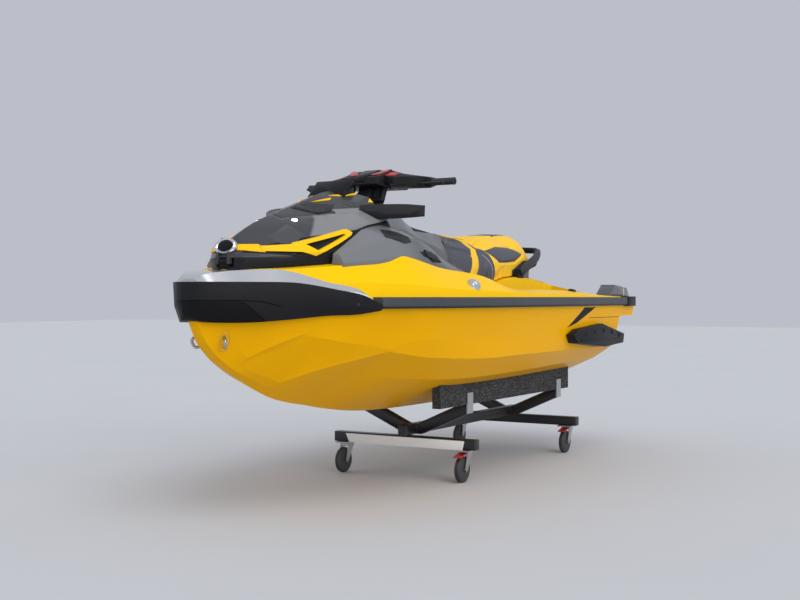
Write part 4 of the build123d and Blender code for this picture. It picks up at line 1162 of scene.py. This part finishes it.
@dataclass
class Seats:
    """The driver's and the passenger's seat with their piping, and the grab handle's fairings."""

    front: tuple[Crease, ...] = (
        Crease(((-0.286, 1.20), (-0.262, 1.149), (-0.2315, 1.082), (-0.188, 0.985))),
        Crease(((-0.335, 1.20), (-0.296, 1.108), (-0.271, 1.05), (-0.245, 0.98))),
        Crease(((-0.02, 1.128), (-0.17, 1.122), (-0.235, 1.098)), depth=0.004, start=0.12),
        *(
            Crease(((x, 0.0), (x - 0.012, 0.10), (x - 0.05, 0.17)), View.TOP, 0.004, 0.006)
            for x in (-0.12, -0.17, -0.22)
        ),
    )
    rear: tuple[Crease, ...] = (
        Crease(
            (
                (-0.415, 1.125), (-0.53, 1.152), (-0.68, 1.155), (-0.815, 1.12), (-0.69, 1.075), (-0.6, 1.07),
                (-0.50, 1.066), (-0.415, 1.125),
            ),
            depth=0.006, start=0.14,
        ),
        Crease(((-0.352, 1.13), (-0.385, 1.09), (-0.412, 1.04), (-0.43, 0.96)), start=0.12),
        Crease(((-0.50, 1.066), (-0.512, 1.03), (-0.51, 0.95)), start=0.12),
        Crease(((-0.34, 0.105), (-0.55, 0.115), (-0.97, 0.105)), View.TOP, 0.006, 0.008),
        Crease(((-0.62, 0.0), (-0.62, 0.105)), View.TOP, 0.005, 0.007),
        Crease(((-0.80, 0.0), (-0.80, 0.105)), View.TOP, 0.005, 0.007),
    )
    pipe_stations: tuple[float, ...] = (-0.30, -0.27, -0.22, -0.16, -0.10, -0.04, 0.0)
    pipe_y: float = 0.128
    pipe_z: float = 1.20
    pipe_radius: float = 0.0038
    pipe_lift: float = 0.006
    arm_line: tuple[Point, ...] = (
        (-0.688, 0.262, 1.008), (-0.76, 0.262, 1.047), (-0.90, 0.258, 1.092), (-1.00, 0.232, 1.124),
        (-1.085, 0.196, 1.151),
    )
    arm_sizes: tuple[float, ...] = (0.85, 1.05, 1.0, 0.9, 0.75)
    arm_wide: float = 0.0185
    arm_high: float = 0.024
    arm_power: float = 2.6

    def piping(self) -> None:
        """Builds the yellow piping of the driver's seat."""
        points = []
        for x in self.pipe_stations:
            place, out = nearest("seat_front", Vector((x, self.pipe_y, self.pipe_z)))
            points.append(place + out * self.pipe_lift)
        fit_pair(tube("seat_piping", points, self.pipe_radius), "yellow_plastic", "craft")

    def handle_fairings(self) -> None:
        """Builds the moulded arms that run up the sides of the grab handle."""
        line, power, rows = self.arm_line, self.arm_power, []
        for number, (place, size) in enumerate(zip(line, self.arm_sizes)):
            along = Vector(line[min(len(line) - 1, number + 1)]) - Vector(line[max(0, number - 1)])
            along.normalize()
            side = along.cross(Vector((0, 0, 1))).normalized()
            up = side.cross(along)
            ring = []
            for across, rise in circle(20):
                reach = size * (abs(across) ** power + abs(rise) ** power) ** (-1 / power)
                ring.append(
                    Vector(place) + side * (self.arm_wide * across * reach) + up * (self.arm_high * rise * reach)
                )
            rows.append(ring)
        arm = skin("handle_fairings", rows)
        apply(arm, "SUBSURF", levels=1, render_levels=1)
        smooth(arm, 50)
        fit_pair(arm, "black_rubber", "craft")

    def build(self) -> None:
        """Builds both seats and what lies on them."""
        Cushion("seat_front", "front_vinyl", self.front).build()
        self.piping()
        Cushion("seat_rear", "rear_vinyl", self.rear).build()
        self.handle_fairings()


# Hood, nose and bumper


@dataclass
class Bow:
    """Panels, glowing lenses that stand in for a glint of the sun, mirrors and badge of the hood, and the screws of the
    bumper.
    """

    panels: tuple[Panel, ...] = (
        Panel(
            "hood_lower_band", "hood_lid", "black_gloss", "storage_lid",
            ((1.47, 1.06), (1.44, 1.092), (1.22, 1.128), (1.02, 1.172), (0.98, 1.15), (1.2, 1.04)),
            start=0.05, wall=0.0012,
        ),
        Panel(
            "trim_starts", "hood_lid", "yellow_plastic", "storage_lid",
            ((1.408, 1.060), (1.478, 1.068), (1.474, 1.090), (1.408, 1.0905)), tilt=0.1, wall=0.005,
        ),
        Panel(
            "hood_vent_panel", "hood_cowl", "black_gloss", "storage_lid",
            ((1.06, 0.004), (1.045, 0.135), (0.985, 0.16), (0.91, 0.125), (0.955, 0.004)), View.TOP, 0.5,
        ),
        Panel(
            "cowl_slash_low", "hood_cowl", "yellow_plastic", "storage_lid",
            ((0.962, 0.030), (0.857, 0.074), (0.880, 0.084), (0.900, 0.070)), View.TOP, 0.5, wall=0.0035,
        ),
        Panel(
            "cowl_slash_high", "hood_cowl", "yellow_plastic", "storage_lid",
            ((0.842, 0.046), (0.79, 0.066), (0.70, 0.10), (0.72, 0.115), (0.80, 0.085)), View.TOP, 0.5, wall=0.0035,
        ),
        Panel(
            "cowl_side_mark", "hood_cowl", "yellow_plastic", "storage_lid",
            ((0.735, 1.302), (0.70, 1.322), (0.64, 1.322), (0.655, 1.302)), tilt=0.5,
        ),
    )
    # Where the sun's glint on the hood is painted in as a glowing lens.
    lamp: Point = (1.166, 0.097, 1.201)
    lamp_aim: Point = (0.6, 0.3, 0.75)
    lamp_sink: float = 0.0068
    screw: Point = (1.222, 0.447, 0.856)
    screw_out: Point = (0.53, 0.84, -0.13)
    mirror_cut: Point = (0.82, 0.25, 1.25)
    mirror_cut_out: Point = (0.74, 0.672, 0.0)
    mirror_slant: tuple[float, float] = (0.5075, 0.8616)
    stem_joints: tuple[float, float] = (0.237, 0.250)
    stem_side: float = -0.245
    stem_middle: float = 1.224
    stem_foot: float = 1.227
    stem_squash: float = 0.38
    badge_high: float = 0.033
    badge_wide: float = 0.052
    badge_drop: float = 0.004
    badge_lift: float = 0.004

    def lamps(self) -> None:
        """Builds two small round lenses on the hood that glow though they are no lamps, a painted glint of the sun."""
        aim = Vector(self.lamp_aim).normalized()
        foot = Vector(self.lamp) - aim * self.lamp_sink
        bezel = ((0, 0.022), (0.005, 0.022), (0.0065, 0.020), (0.0065, 0.0165), (0.004, 0.0155))
        lens = ((0.003, 0.0155), (0.006, 0.0152), (0.0085, 0.011), (0.0098, 0.006), (0.0103, 0.0))
        fit_pair(turned("glint_bezel", bezel, foot, aim), "black_gloss", "storage_lid")
        fit_pair(turned("glint_lens", lens, foot, aim), "bright_lens", "storage_lid")

    def bumper(self) -> None:
        """Builds the screws of the bumper."""
        profile = ((-0.004, 0.006), (0.002, 0.006), (0.003, 0.005), (0.003, 0.0028), (0.0005, 0.0025), (0.0005, 0.0))
        fit_pair(turned("bumper_screws", profile, self.screw, self.screw_out, 20), "dark_metal", "craft")

    def mirrors(self) -> None:
        """Builds the swept mirrors, from the solids less their outer front corners, on slim stems."""
        thing = copy_of("mirrors", "mirror_shells")
        drop(thing, lambda middle, normal: middle.y < 0)
        along, across = self.mirror_slant
        with editing(thing):
            bpy.ops.mesh.bisect(
                plane_co=self.mirror_cut, plane_no=self.mirror_cut_out, clear_outer=True, use_fill=True,
            )
            bpy.ops.mesh.select_all(action="SELECT")
            bpy.ops.mesh.dissolve_limited(angle_limit=math.radians(1.0))
            for share in self.stem_joints:
                bpy.ops.mesh.select_all(action="SELECT")
                bpy.ops.mesh.bisect(plane_co=(share / along, 0.0, 1.25), plane_no=(along, -across, 0.0))
            face_out()
        for vertex in thing.data.vertices:
            if vertex.co.y * across - vertex.co.x * along < self.stem_side:
                vertex.co.z = self.stem_foot + (vertex.co.z - self.stem_middle) * self.stem_squash
        bevel(thing, 0.005, 24, 3)
        smooth(thing, 40)
        fit_pair(thing, "black_gloss", "storage_lid", "mirrors")

    def badge(self) -> None:
        """Builds the nose badge's rim, its blank face and a small side marker."""
        out, up = Vector((0.94, 0, 0.34)), Vector((-0.34, 0, 0.94))
        x, _, z = centre_of("nose_badge")
        centre = Vector((x, 0.0, z)) - up * self.badge_drop
        rim = ((-0.004, 1.0), (0.008, 1.04), (0.015, 1.0), (0.018, 0.93), (0.016, 0.78), (0.010, 0.70), (0.010, 0.02))
        face = ((0.0095, 0.69), (0.0125, 0.68), (0.0145, 0.58), (0.0155, 0.3), (0.0158, 0.02))
        for name, finish, profile, nodes in (
            ("badge_rim", "chrome", rim, ("nose_badge",)), ("badge_face", "black_gloss", face, ()),
        ):
            ring = skin(name, [
                [
                    centre + out * (lift + self.badge_lift) + up * (self.badge_high * share * rise)
                    + Vector((0, self.badge_wide * share * across, 0))
                    for across, rise in circle(40)
                ]
                for lift, share in profile
            ])
            smooth(ring, 50)
            fit(ring, finish, "storage_lid", *nodes)
        foot = centre + Vector((-0.006, -0.030, 0.030))
        profile = ((0, 0.008), (0.005, 0.008), (0.007, 0.005), (0.008, 0.0))
        fit(turned("nose_marker", profile, foot, (0.8, -0.3, 0.5), 20), "red_plastic", "storage_lid")

    def build(self) -> None:
        """Builds the whole bow group."""
        for panel in self.panels:
            panel.build()
        self.lamps()
        self.bumper()
        self.mirrors()
        self.badge()


# Handlebar


@dataclass
class Handlebar:
    """The gauge's glass, grips with their ribs and flanges, the pad's panels, the boot and the switches."""

    panels: tuple[Panel, ...] = (
        Panel(
            "pad_accent", "handlebar_pad", "red_plastic", "steering",
            ((0.48, 0.03), (0.425, 0.062), (0.385, 0.104), (0.43, 0.104), (0.476, 0.075)), View.TOP, 0.4, wall=0.0035,
        ),
        Panel(
            "cover_accent", "hand_covers", "red_plastic", "steering",
            ((0.46, 0.098), (0.41, 0.098), (0.395, 0.15), (0.44, 0.15)), View.TOP, 0.4, wall=0.003,
        ),
        Panel(
            "pad_ridge", "handlebar_pad", "black_gloss", "steering",
            ((0.52, -0.03), (0.36, -0.045), (0.36, 0.045), (0.52, 0.03)), View.TOP, 0.4, -1.0, 0.004, False,
        ),
    )
    grip_inner: float = 0.288
    grip_outer: float = 0.405
    ribs: int = 14
    rib_pitch: float = 0.0066
    neck_x: float = 0.437
    neck_z: float = 1.30
    neck_rake: float = 0.42
    boot_folds: int = 9
    boot_deep: float = 0.036
    boot_wide: float = 0.080

    def screen(self) -> None:
        """Builds the gauge's blank glass."""
        low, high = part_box("gauge")
        x, wide, bottom, top = low[0] - 0.0003, high[1] - 0.016, low[2] + 0.018, high[2] - 0.016
        corners = [(x, -wide, bottom), (x, -wide + 0.006, top), (x, wide - 0.006, top), (x, wide, bottom)]
        fit(slab("gauge_screen", corners, -0.002, 0.0008), "screen_glass", "storage_lid")

    def grips(self) -> None:
        """Builds the ribbed grips."""
        x, _, z = centre_of("grips")
        profile = [(0.0, 0.0112), (0.0, 0.0205), (0.005, 0.0215), (0.009, 0.0205), (0.011, 0.0165)]
        for number in range(self.ribs):
            start = 0.014 + number * self.rib_pitch
            profile += [(start, 0.0152), (start + 0.0015, 0.0167), (start + 0.0045, 0.0167), (start + 0.006, 0.0152)]
        end = self.grip_outer - self.grip_inner
        profile += [(end - 0.01, 0.0165), (end - 0.006, 0.0175), (end - 0.001, 0.0175), (end, 0.016), (end, 0.0)]
        grip = turned("grip_sleeves", profile, (x, self.grip_inner, z), (0, 1, 0), 28)
        fit_pair(grip, "black_rubber", "steering", "grips")

    def neck(self) -> None:
        """Builds the rubber boot of the steering neck, with its folds."""
        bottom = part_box("steering_sleeve")[0][2] + 0.03
        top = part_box("handlebar_pad")[0][2] + 0.012
        quarter = ((1, 0.5), (0.8, 0.85), (0.3, 1))
        half = [*quarter, *((-a, b) for a, b in reversed(quarter))]
        outline = [*half, *((-a, -b) for a, b in half)]
        rows = []
        for number in range(self.boot_folds):
            share = number / (self.boot_folds - 1)
            z = bottom + (top - bottom) * share
            x = self.neck_x - (z - self.neck_z) * self.neck_rake
            fold = 0.94 if number % 2 else 1.0
            deep, wide = ((size - 0.006 * share) * fold for size in (self.boot_deep, self.boot_wide))
            rows.append([(x + deep * a, wide * b, z) for a, b in outline])
        boot = skin("steering_boot", rows)
        smooth(boot, 50)
        fit(boot, "black_rubber", "steering")

    def controls(self) -> None:
        """Builds the switch pods beside the grips, and their buttons."""
        x, _, z = centre_of("grips")
        outline = (
            (0.024, -0.012), (0.026, 0.008), (0.016, 0.021), (-0.014, 0.024), (-0.024, 0.012), (-0.022, -0.012),
            (0.0, -0.02),
        )
        pod = skin("switch_pods", [
            [(x + across * size, y, z + rise * size) for across, rise in outline]
            for y, size in ((0.248, 0.8), (0.25, 1.0), (0.282, 1.0), (0.284, 0.85))
        ])
        bevel(pod, 0.002, 30)
        smooth(pod)
        fit_pair(pod, "black_plastic", "steering")
        profile = ((0, 0.006), (0.004, 0.006), (0.005, 0.005), (0.005, 0.0))
        button = turned("switch_buttons", profile, (x - 0.016, 0.266, z + 0.018), (-0.45, 0, 0.9), 20)
        fit_pair(button, "red_plastic", "steering")

    def build(self) -> None:
        """Builds the whole handlebar group."""
        self.screen()
        self.grips()
        for panel in self.panels:
            panel.build()
        self.neck()
        self.controls()


# Sides and stern


@dataclass
class Sides:
    """Scoops, vents, cleats, fuel cap and bow eye surrounds, and what sponsons, rails and stern carry."""

    # A thin black sheet stands in for the shade inside the scoop's recess.
    scoop: Panel = Panel(
        "side_scoops", "side_panels", "scoop_black", "craft",
        ((0.90, 1.135), (0.86, 1.172), (0.76, 1.165), (0.74, 1.12), (0.80, 1.112)), tilt=0.15, start=0.25,
    )
    vent_outlines: tuple[tuple[tuple[float, float], ...], ...] = (
        ((0.69, 1.082), (0.53, 1.088), (0.505, 1.066), (0.665, 1.060)),
        ((0.625, 1.054), (0.50, 1.058), (0.475, 1.040), (0.60, 1.036)),
    )
    slats: int = 3
    rib: Panel = Panel(
        "sponson_ribs", "sponsons", "black_plastic", "craft",
        ((-0.72, 0.648), (-0.72, 0.662), (-1.36, 0.648), (-1.36, 0.634)), tilt=0.7, wall=0.003,
    )
    rail_cap: Panel = Panel(
        "rail_caps", "rub_rails", "black_plastic", "craft",
        ((-1.43, 0.80), (-1.43, 0.90), (-1.72, 0.90), (-1.72, 0.80)), tilt=-2.0, start=0.3, wall=0.004,
    )
    fin_panel: Panel = Panel(
        "fin_panels", "stern_fins", "metallic_grey", "craft",
        ((-1.395, 0.40), (-1.395, 0.535), (-1.54, 0.535), (-1.54, 0.40)), View.TOP, wall=0.002,
    )
    cleat: Point = (-0.92, 0.44, 0.95)
    cleat_reach: float = 0.042
    cleat_half_width: float = 0.011
    cap_lean: Point = (0.36, 0.25, 0.0)
    cap_sink: float = 0.030
    bar_turn: float = 0.45
    bar_foot: float = 0.0403
    bar_half: tuple[float, float] = (0.023, 0.004)
    recesses: tuple[tuple[float, float], ...] = (
        (-0.80, 0.685), (-0.93, 0.695), (-1.06, 0.70), (-1.19, 0.69), (-1.31, 0.67),
    )
    eye_high: float = 0.043
    eye_wide: float = 0.024
    eye_inset: float = 0.020

    def vents(self) -> None:
        """Builds the recessed vents of the side panels."""
        for number, corners in enumerate(self.vent_outlines):
            name = f"vent_{number}"
            Panel(f"{name}_frame", "side_panels", "black_gloss", "craft", corners, start=0.3, wall=0.002).build()
            (top, top_z), (top_end, _), (low_end, _), (low, low_z) = corners
            for bar in range(self.slats):
                share = (bar + 0.75) / (self.slats + 0.5)
                inner = (
                    (top + (top_end - top) * (share - 0.05), top_z - 0.003),
                    (top + (top_end - top) * (share + 0.05), top_z - 0.002),
                    (low + (low_end - low) * (share + 0.05), low_z + 0.004),
                    (low + (low_end - low) * (share - 0.05), low_z + 0.004),
                )
                slat = f"{name}_slat_{bar}"
                Panel(slat, "side_panels", "black_plastic", "craft", inner, start=0.3, wall=0.005).build()

    def cleats(self) -> None:
        """Builds the black mooring cleats of the rear gunwales."""
        place, out = nearest("deck", Vector(self.cleat))
        along = Vector((1, 0, 0)) - out * out.x
        side = out.cross(along).normalized() * self.cleat_half_width
        rows = []
        for share, lift, size in (
            (-1.0, 0.004, 0.6), (-0.8, 0.009, 1.0), (-0.3, 0.012, 1.0), (0.3, 0.012, 1.0), (0.8, 0.009, 1.0),
            (1.0, 0.004, 0.6),
        ):
            middle = place + along * (self.cleat_reach * share)
            rows.append([
                middle + side * (size * across) + out * rise
                for across, rise in (
                    (1, -0.003), (1, lift * 0.7), (0.6, lift), (-0.6, lift), (-1, lift * 0.7), (-1, -0.003),
                )
            ])
        cleat = skin("mooring_cleats", rows)
        bevel(cleat, 0.0015, 40)
        smooth(cleat)
        fit_pair(cleat, "black_plastic", "craft")

    def fuel_cap(self) -> None:
        """Builds the fuel cap with its rim and finger bar."""
        place, out = nearest("deck", Vector(centre_of("fuel_cap")))
        axis = (out + Vector(self.cap_lean)).normalized()
        foot = place - axis * self.cap_sink
        profile = (
            (0.0, 0.026), (0.0, 0.0285), (0.032, 0.0285), (0.034, 0.0315), (0.040, 0.032), (0.043, 0.030),
            (0.043, 0.0255), (0.0405, 0.0235), (0.0405, 0.012), (0.043, 0.008), (0.044, 0.0),
        )
        fit(turned("fuel_cap_body", profile, foot, axis, 48), "chrome", "craft", "fuel_cap")
        across = axis.cross(Vector((1, 0, 0))).normalized()
        along = Vector((1, 0, 0)).lerp(across, self.bar_turn).normalized()
        side = axis.cross(along)
        face = foot + axis * self.bar_foot
        long, wide = self.bar_half
        corners = [face + along * (long * a) + side * (wide * b) for a, b in ((1, 1), (-1, 1), (-1, -1), (1, -1))]
        fit(slab("fuel_cap_bar", corners, 0.004, 0.001), "chrome", "craft")

    def sponson_recesses(self) -> None:
        """Builds the bolt recesses of the sponsons."""
        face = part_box("sponsons")[1][1]
        profile = (
            (-0.002, 0.013), (0.0015, 0.013), (0.0025, 0.012), (0.0025, 0.009), (0.0, 0.0085), (0.0, 0.0055),
            (0.0015, 0.0045), (0.0015, 0.0),
        )
        parts = [turned("recess", profile, (x, face, z), (0, 1, 0), 20) for x, z in self.recesses]
        fit_pair(joined("sponson_recesses", parts), "black_gloss", "craft")

    def eye_surrounds(self) -> None:
        """Builds the oval surrounds of the bow eyes, in the amber painted shade of the lower hull."""
        x, _, z = centre_of("bow_eyes")
        place, out = nearest("hull", Vector((x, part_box("bow_eyes")[1][1] - self.eye_inset, z)))
        up = (Vector((0, 0, 1)) - out * out.z).normalized()
        along = up.cross(out)
        rows = []
        for lift, share in (
            (-0.004, 1.08), (0.002, 1.04), (0.0045, 0.98), (0.0045, 0.92), (0.002, 0.86), (0.001, 0.80), (0.001, 0.02),
        ):
            ring = []
            for rise, across in circle(36):
                spot = place + up * (self.eye_high * share * rise) + along * (self.eye_wide * share * across)
                near, normal = nearest("hull", spot)
                ring.append(near + normal * lift)
            rows.append(ring)
        surround = skin("eye_surrounds", rows)
        smooth(surround, 60)
        fit_pair(surround, "eye_gelcoat", "craft")

    def build(self) -> None:
        """Builds both sides."""
        self.scoop.build()
        self.vents()
        self.cleats()
        self.fin_panel.build()
        self.fuel_cap()
        self.rail_cap.build()
        self.sponson_recesses()
        self.rib.build()
        self.eye_surrounds()


# Dolly


@dataclass
class Dolly:
    """Caster wheels with tyres, hubs with their bolts and axles, and the front beam's blank plate."""

    wheel_width: float = 0.032
    bolt_circle: float = 0.023
    bolts: int = 5
    groove: float = 0.003
    plate_corners: tuple[tuple[float, float], ...] = ((-0.31, 0.151), (0.335, 0.151), (0.345, 0.196), (-0.33, 0.196))

    def wheel(self, place: str) -> None:
        """Builds one wheel: a grooved tyre, a hub with its bolts, and the axle.

        Args:
            place: Name of its corner.
        """
        node = "caster_wheel_" + place
        low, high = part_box(node)
        x, y, z = centre_of(node)
        half, radius = (high[1] - low[1]) / 2, (high[2] - low[2]) / 2
        tread = self.wheel_width / 2
        foot = (x, y - half, z)
        tyre_side = ((0.0, 0.036), (0.0, 0.044), (0.001, 0.052), (0.004, radius - 0.003), (0.008, radius))
        groove = ((-0.004, radius), (-0.003, radius - 0.002), (0.003, radius - 0.002), (0.004, radius))
        hub_side = ((0.002, 0.0), (0.002, 0.012), (0.006, 0.016), (0.008, 0.030), (0.001, 0.034), (0.001, 0.0365))
        tyre_profile, hub_profile = (
            [
                *((half - tread + inset, size) for inset, size in side),
                *((half + shift, size) for shift, size in middle),
                *((half + tread - inset, size) for inset, size in reversed(side)),
            ]
            for side, middle in ((tyre_side, groove), (hub_side, ()))
        )
        tyre = turned(f"tyre_{place}", tyre_profile, foot, (0, 1, 0), 56)
        hub = turned(f"hub_{place}", hub_profile, foot, (0, 1, 0), 40)
        bolt_profile = ((0, 0.003), (0.003, 0.003), (0.004, 0.002), (0.004, 0.0))
        parts = [
            turned(
                "bolt", bolt_profile,
                (x + self.bolt_circle * across, y + side * (tread - 0.0085), z + self.bolt_circle * rise),
                (0, side, 0), 12,
            )
            for side in (-1, 1) for across, rise in circle(self.bolts)
        ]
        length = 2 * half
        axle_profile = ((0, 0), (0, 0.0075), (0.002, 0.0085), (length - 0.002, 0.0085), (length, 0.0075), (length, 0))
        parts.append(turned("axle", axle_profile, foot, (0, 1, 0), 6))
        body = body_of(node)
        fit(tyre, "wheel_rubber", body, node)
        fit(joined(f"hub_bolts_{place}", parts), "steel", body)
        fit(hub, "hub_metal", body)

    def plate(self) -> None:
        """Builds the blank plate of the front beam."""
        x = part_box("dolly_frame")[1][0] + 0.0002
        corners = [(x, y, z) for y, z in self.plate_corners]
        fit(slab("beam_plate", corners, 0.0015, 0.0006), "white_tape", "craft")

    def build(self) -> None:
        """Builds the dolly's details."""
        for place in ("front_port", "front_starboard", "rear_port", "rear_starboard"):
            self.wheel(place)
        self.plate()


def body_of(node: str) -> str:
    """Returns the name of the body that a node rides on."""
    for name, body in frame["bodies"].items():
        if frame["nodes"][node].parent is body:
            return name
    raise KeyError(node)


# Rounded copies of the moulded solids

ROUNDED: dict[str, float] = {
    "hood_lid": 0.0025, "hood_cowl": 0.003, "hood_base": 0.003, "console": 0.004, "side_panels": 0.004,
    "hand_covers": 0.004, "handlebar_pad": 0.005, "steering_sleeve": 0.003, "bow_bumper": 0.005, "rub_rails": 0.004,
    "stern_fins": 0.004, "sponsons": 0.004, "dolly_frame": 0.003, "stern_guard": 0.004, "gauge": 0.003,
}
OWN_FINISH: dict[str, str] = {
    "stern_fins": "stern_paint", "bow_bumper": "bumper_plastic", "hood_lid": "hood_paint",
    "hood_cowl": "cowl_paint", "side_panels": "side_paint", "rub_rails": "rail_plastic",
}


def finish_of(node: str) -> str:
    """Returns a node's own finish, or else that of its slot in the record."""
    slots = {entry["node"]: entry["material_slot"] for entry in frame["record"]["subparts"]}
    return OWN_FINISH.get(node, slots[node])


def round_solids() -> None:
    """Stands a copy with rounded edges in for each moulded solid."""
    for node, width in ROUNDED.items():
        fit(rounded(node, width), finish_of(node), body_of(node), node)


# The studio


def stand(name: str, data: bpy.types.ID, place: Point, heading: Point) -> bpy.types.Object:
    """Stands a lamp or camera in the studio.

    Args:
        name: Name of the object.
        data: The lamp or camera.
        place: Where it stands.
        heading: Where it looks.

    Returns:
        The object.
    """
    thing = bpy.data.objects.new(name, data)
    bpy.context.collection.objects.link(thing)
    thing.location = place
    thing.rotation_euler = Vector(heading).to_track_quat("-Z", "Y").to_euler()
    return thing


@dataclass
class Studio:
    """Floor, lamps, the light of the room and the camera."""

    floor_colour: Colour = (0.50, 0.51, 0.54)
    wall_colour: Colour = (0.50, 0.52, 0.58)
    room_colour: Colour = (0.93, 0.96, 1.0)
    room_light: float = 0.85
    eye: Point = (5.135, 2.942, 0.8855)
    heading: Point = (-0.86163, -0.50754, 0.0)
    lens: float = 53.1
    horizon_shift: float = -0.00375

    def floor(self) -> None:
        """Lays the pale floor."""
        tree = Tree("floor")
        colour = tree.mix(tree.noise(1.2, 3.0), tint(self.floor_colour, 0.97), tint(self.floor_colour, 1.03))
        floor_finish = tree.done(Base_Color=colour, Roughness=0.9, Specular_IOR_Level=0.1)
        bpy.ops.object.select_all(action="DESELECT")
        bpy.ops.mesh.primitive_plane_add(size=60, location=(0, 0, 0))
        floor = bpy.context.object
        floor.name = "floor"
        floor.data.materials.append(floor_finish)

    def sun(self, name: str, heading: Point, strength: float, spread: float, colour: Colour = (1, 1, 1)) -> None:
        """Hangs one distant lamp.

        Args:
            name: Name of the lamp.
            heading: Where its light goes.
            strength: Its strength.
            spread: Width of its disc in degrees.
            colour: Colour of its light.
        """
        data = bpy.data.lights.new(name, "SUN")
        data.energy = strength
        data.angle = math.radians(spread)
        data.color = colour
        stand(name, data, (0, 0, 5), heading)

    def world(self) -> None:
        """Sets the even light of the room, and the pale wall that the camera and reflections see."""
        tree = Tree("room", "worlds")
        seen = tree.node("ShaderNodeLightPath", output="Is Camera Ray")
        paths = seen.link.node.outputs
        for name in ("Is Glossy Ray", "Is Transmission Ray"):
            seen = seen.most(Socket(tree, paths[name]))
        room, wall = (
            tree.node("ShaderNodeBackground", {}, {"Color": colour, "Strength": strength})
            for colour, strength in ((self.room_colour, self.room_light), (self.wall_colour, 1.0))
        )
        mixed = tree.node("ShaderNodeMixShader", {}, {0: seen, 1: room, 2: wall})
        bpy.context.scene.world = tree.close(mixed, "ShaderNodeOutputWorld")

    def camera(self) -> None:
        """Places the camera."""
        data = bpy.data.cameras.new("camera")
        data.lens = self.lens
        data.sensor_width = 36.0
        data.shift_y = self.horizon_shift
        data.clip_end = 200.0
        bpy.context.scene.camera = stand("camera", data, self.eye, self.heading)

    def build(self) -> None:
        """Sets up the whole studio."""
        self.floor()
        self.world()
        self.sun("key", (-0.30, -0.45, -0.84), 0.9, 40, (1.0, 0.99, 0.97))
        self.sun("side", (-0.40, -0.88, -0.10), 1.5, 60, (0.99, 0.99, 1.0))
        self.camera()
        bpy.context.scene.view_settings.view_transform = "Standard"


def dress_solids() -> None:
    """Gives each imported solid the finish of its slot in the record."""
    for entry in frame["record"]["subparts"]:
        finish = finish_of(entry["node"])
        PAINTS.dress(frame["nodes"][entry["node"]], finish)
        LOG.info("dressed %s in %s", entry["node"], finish)


def main() -> None:
    """Builds the dressed part in order."""
    logging.basicConfig(level=logging.INFO)
    Studio().build()
    dress_solids()
    round_solids()
    Seats().build()
    Bow().build()
    Handlebar().build()
    Sides().build()
    Dolly().build()


if __name__ == "__main__":
    main()
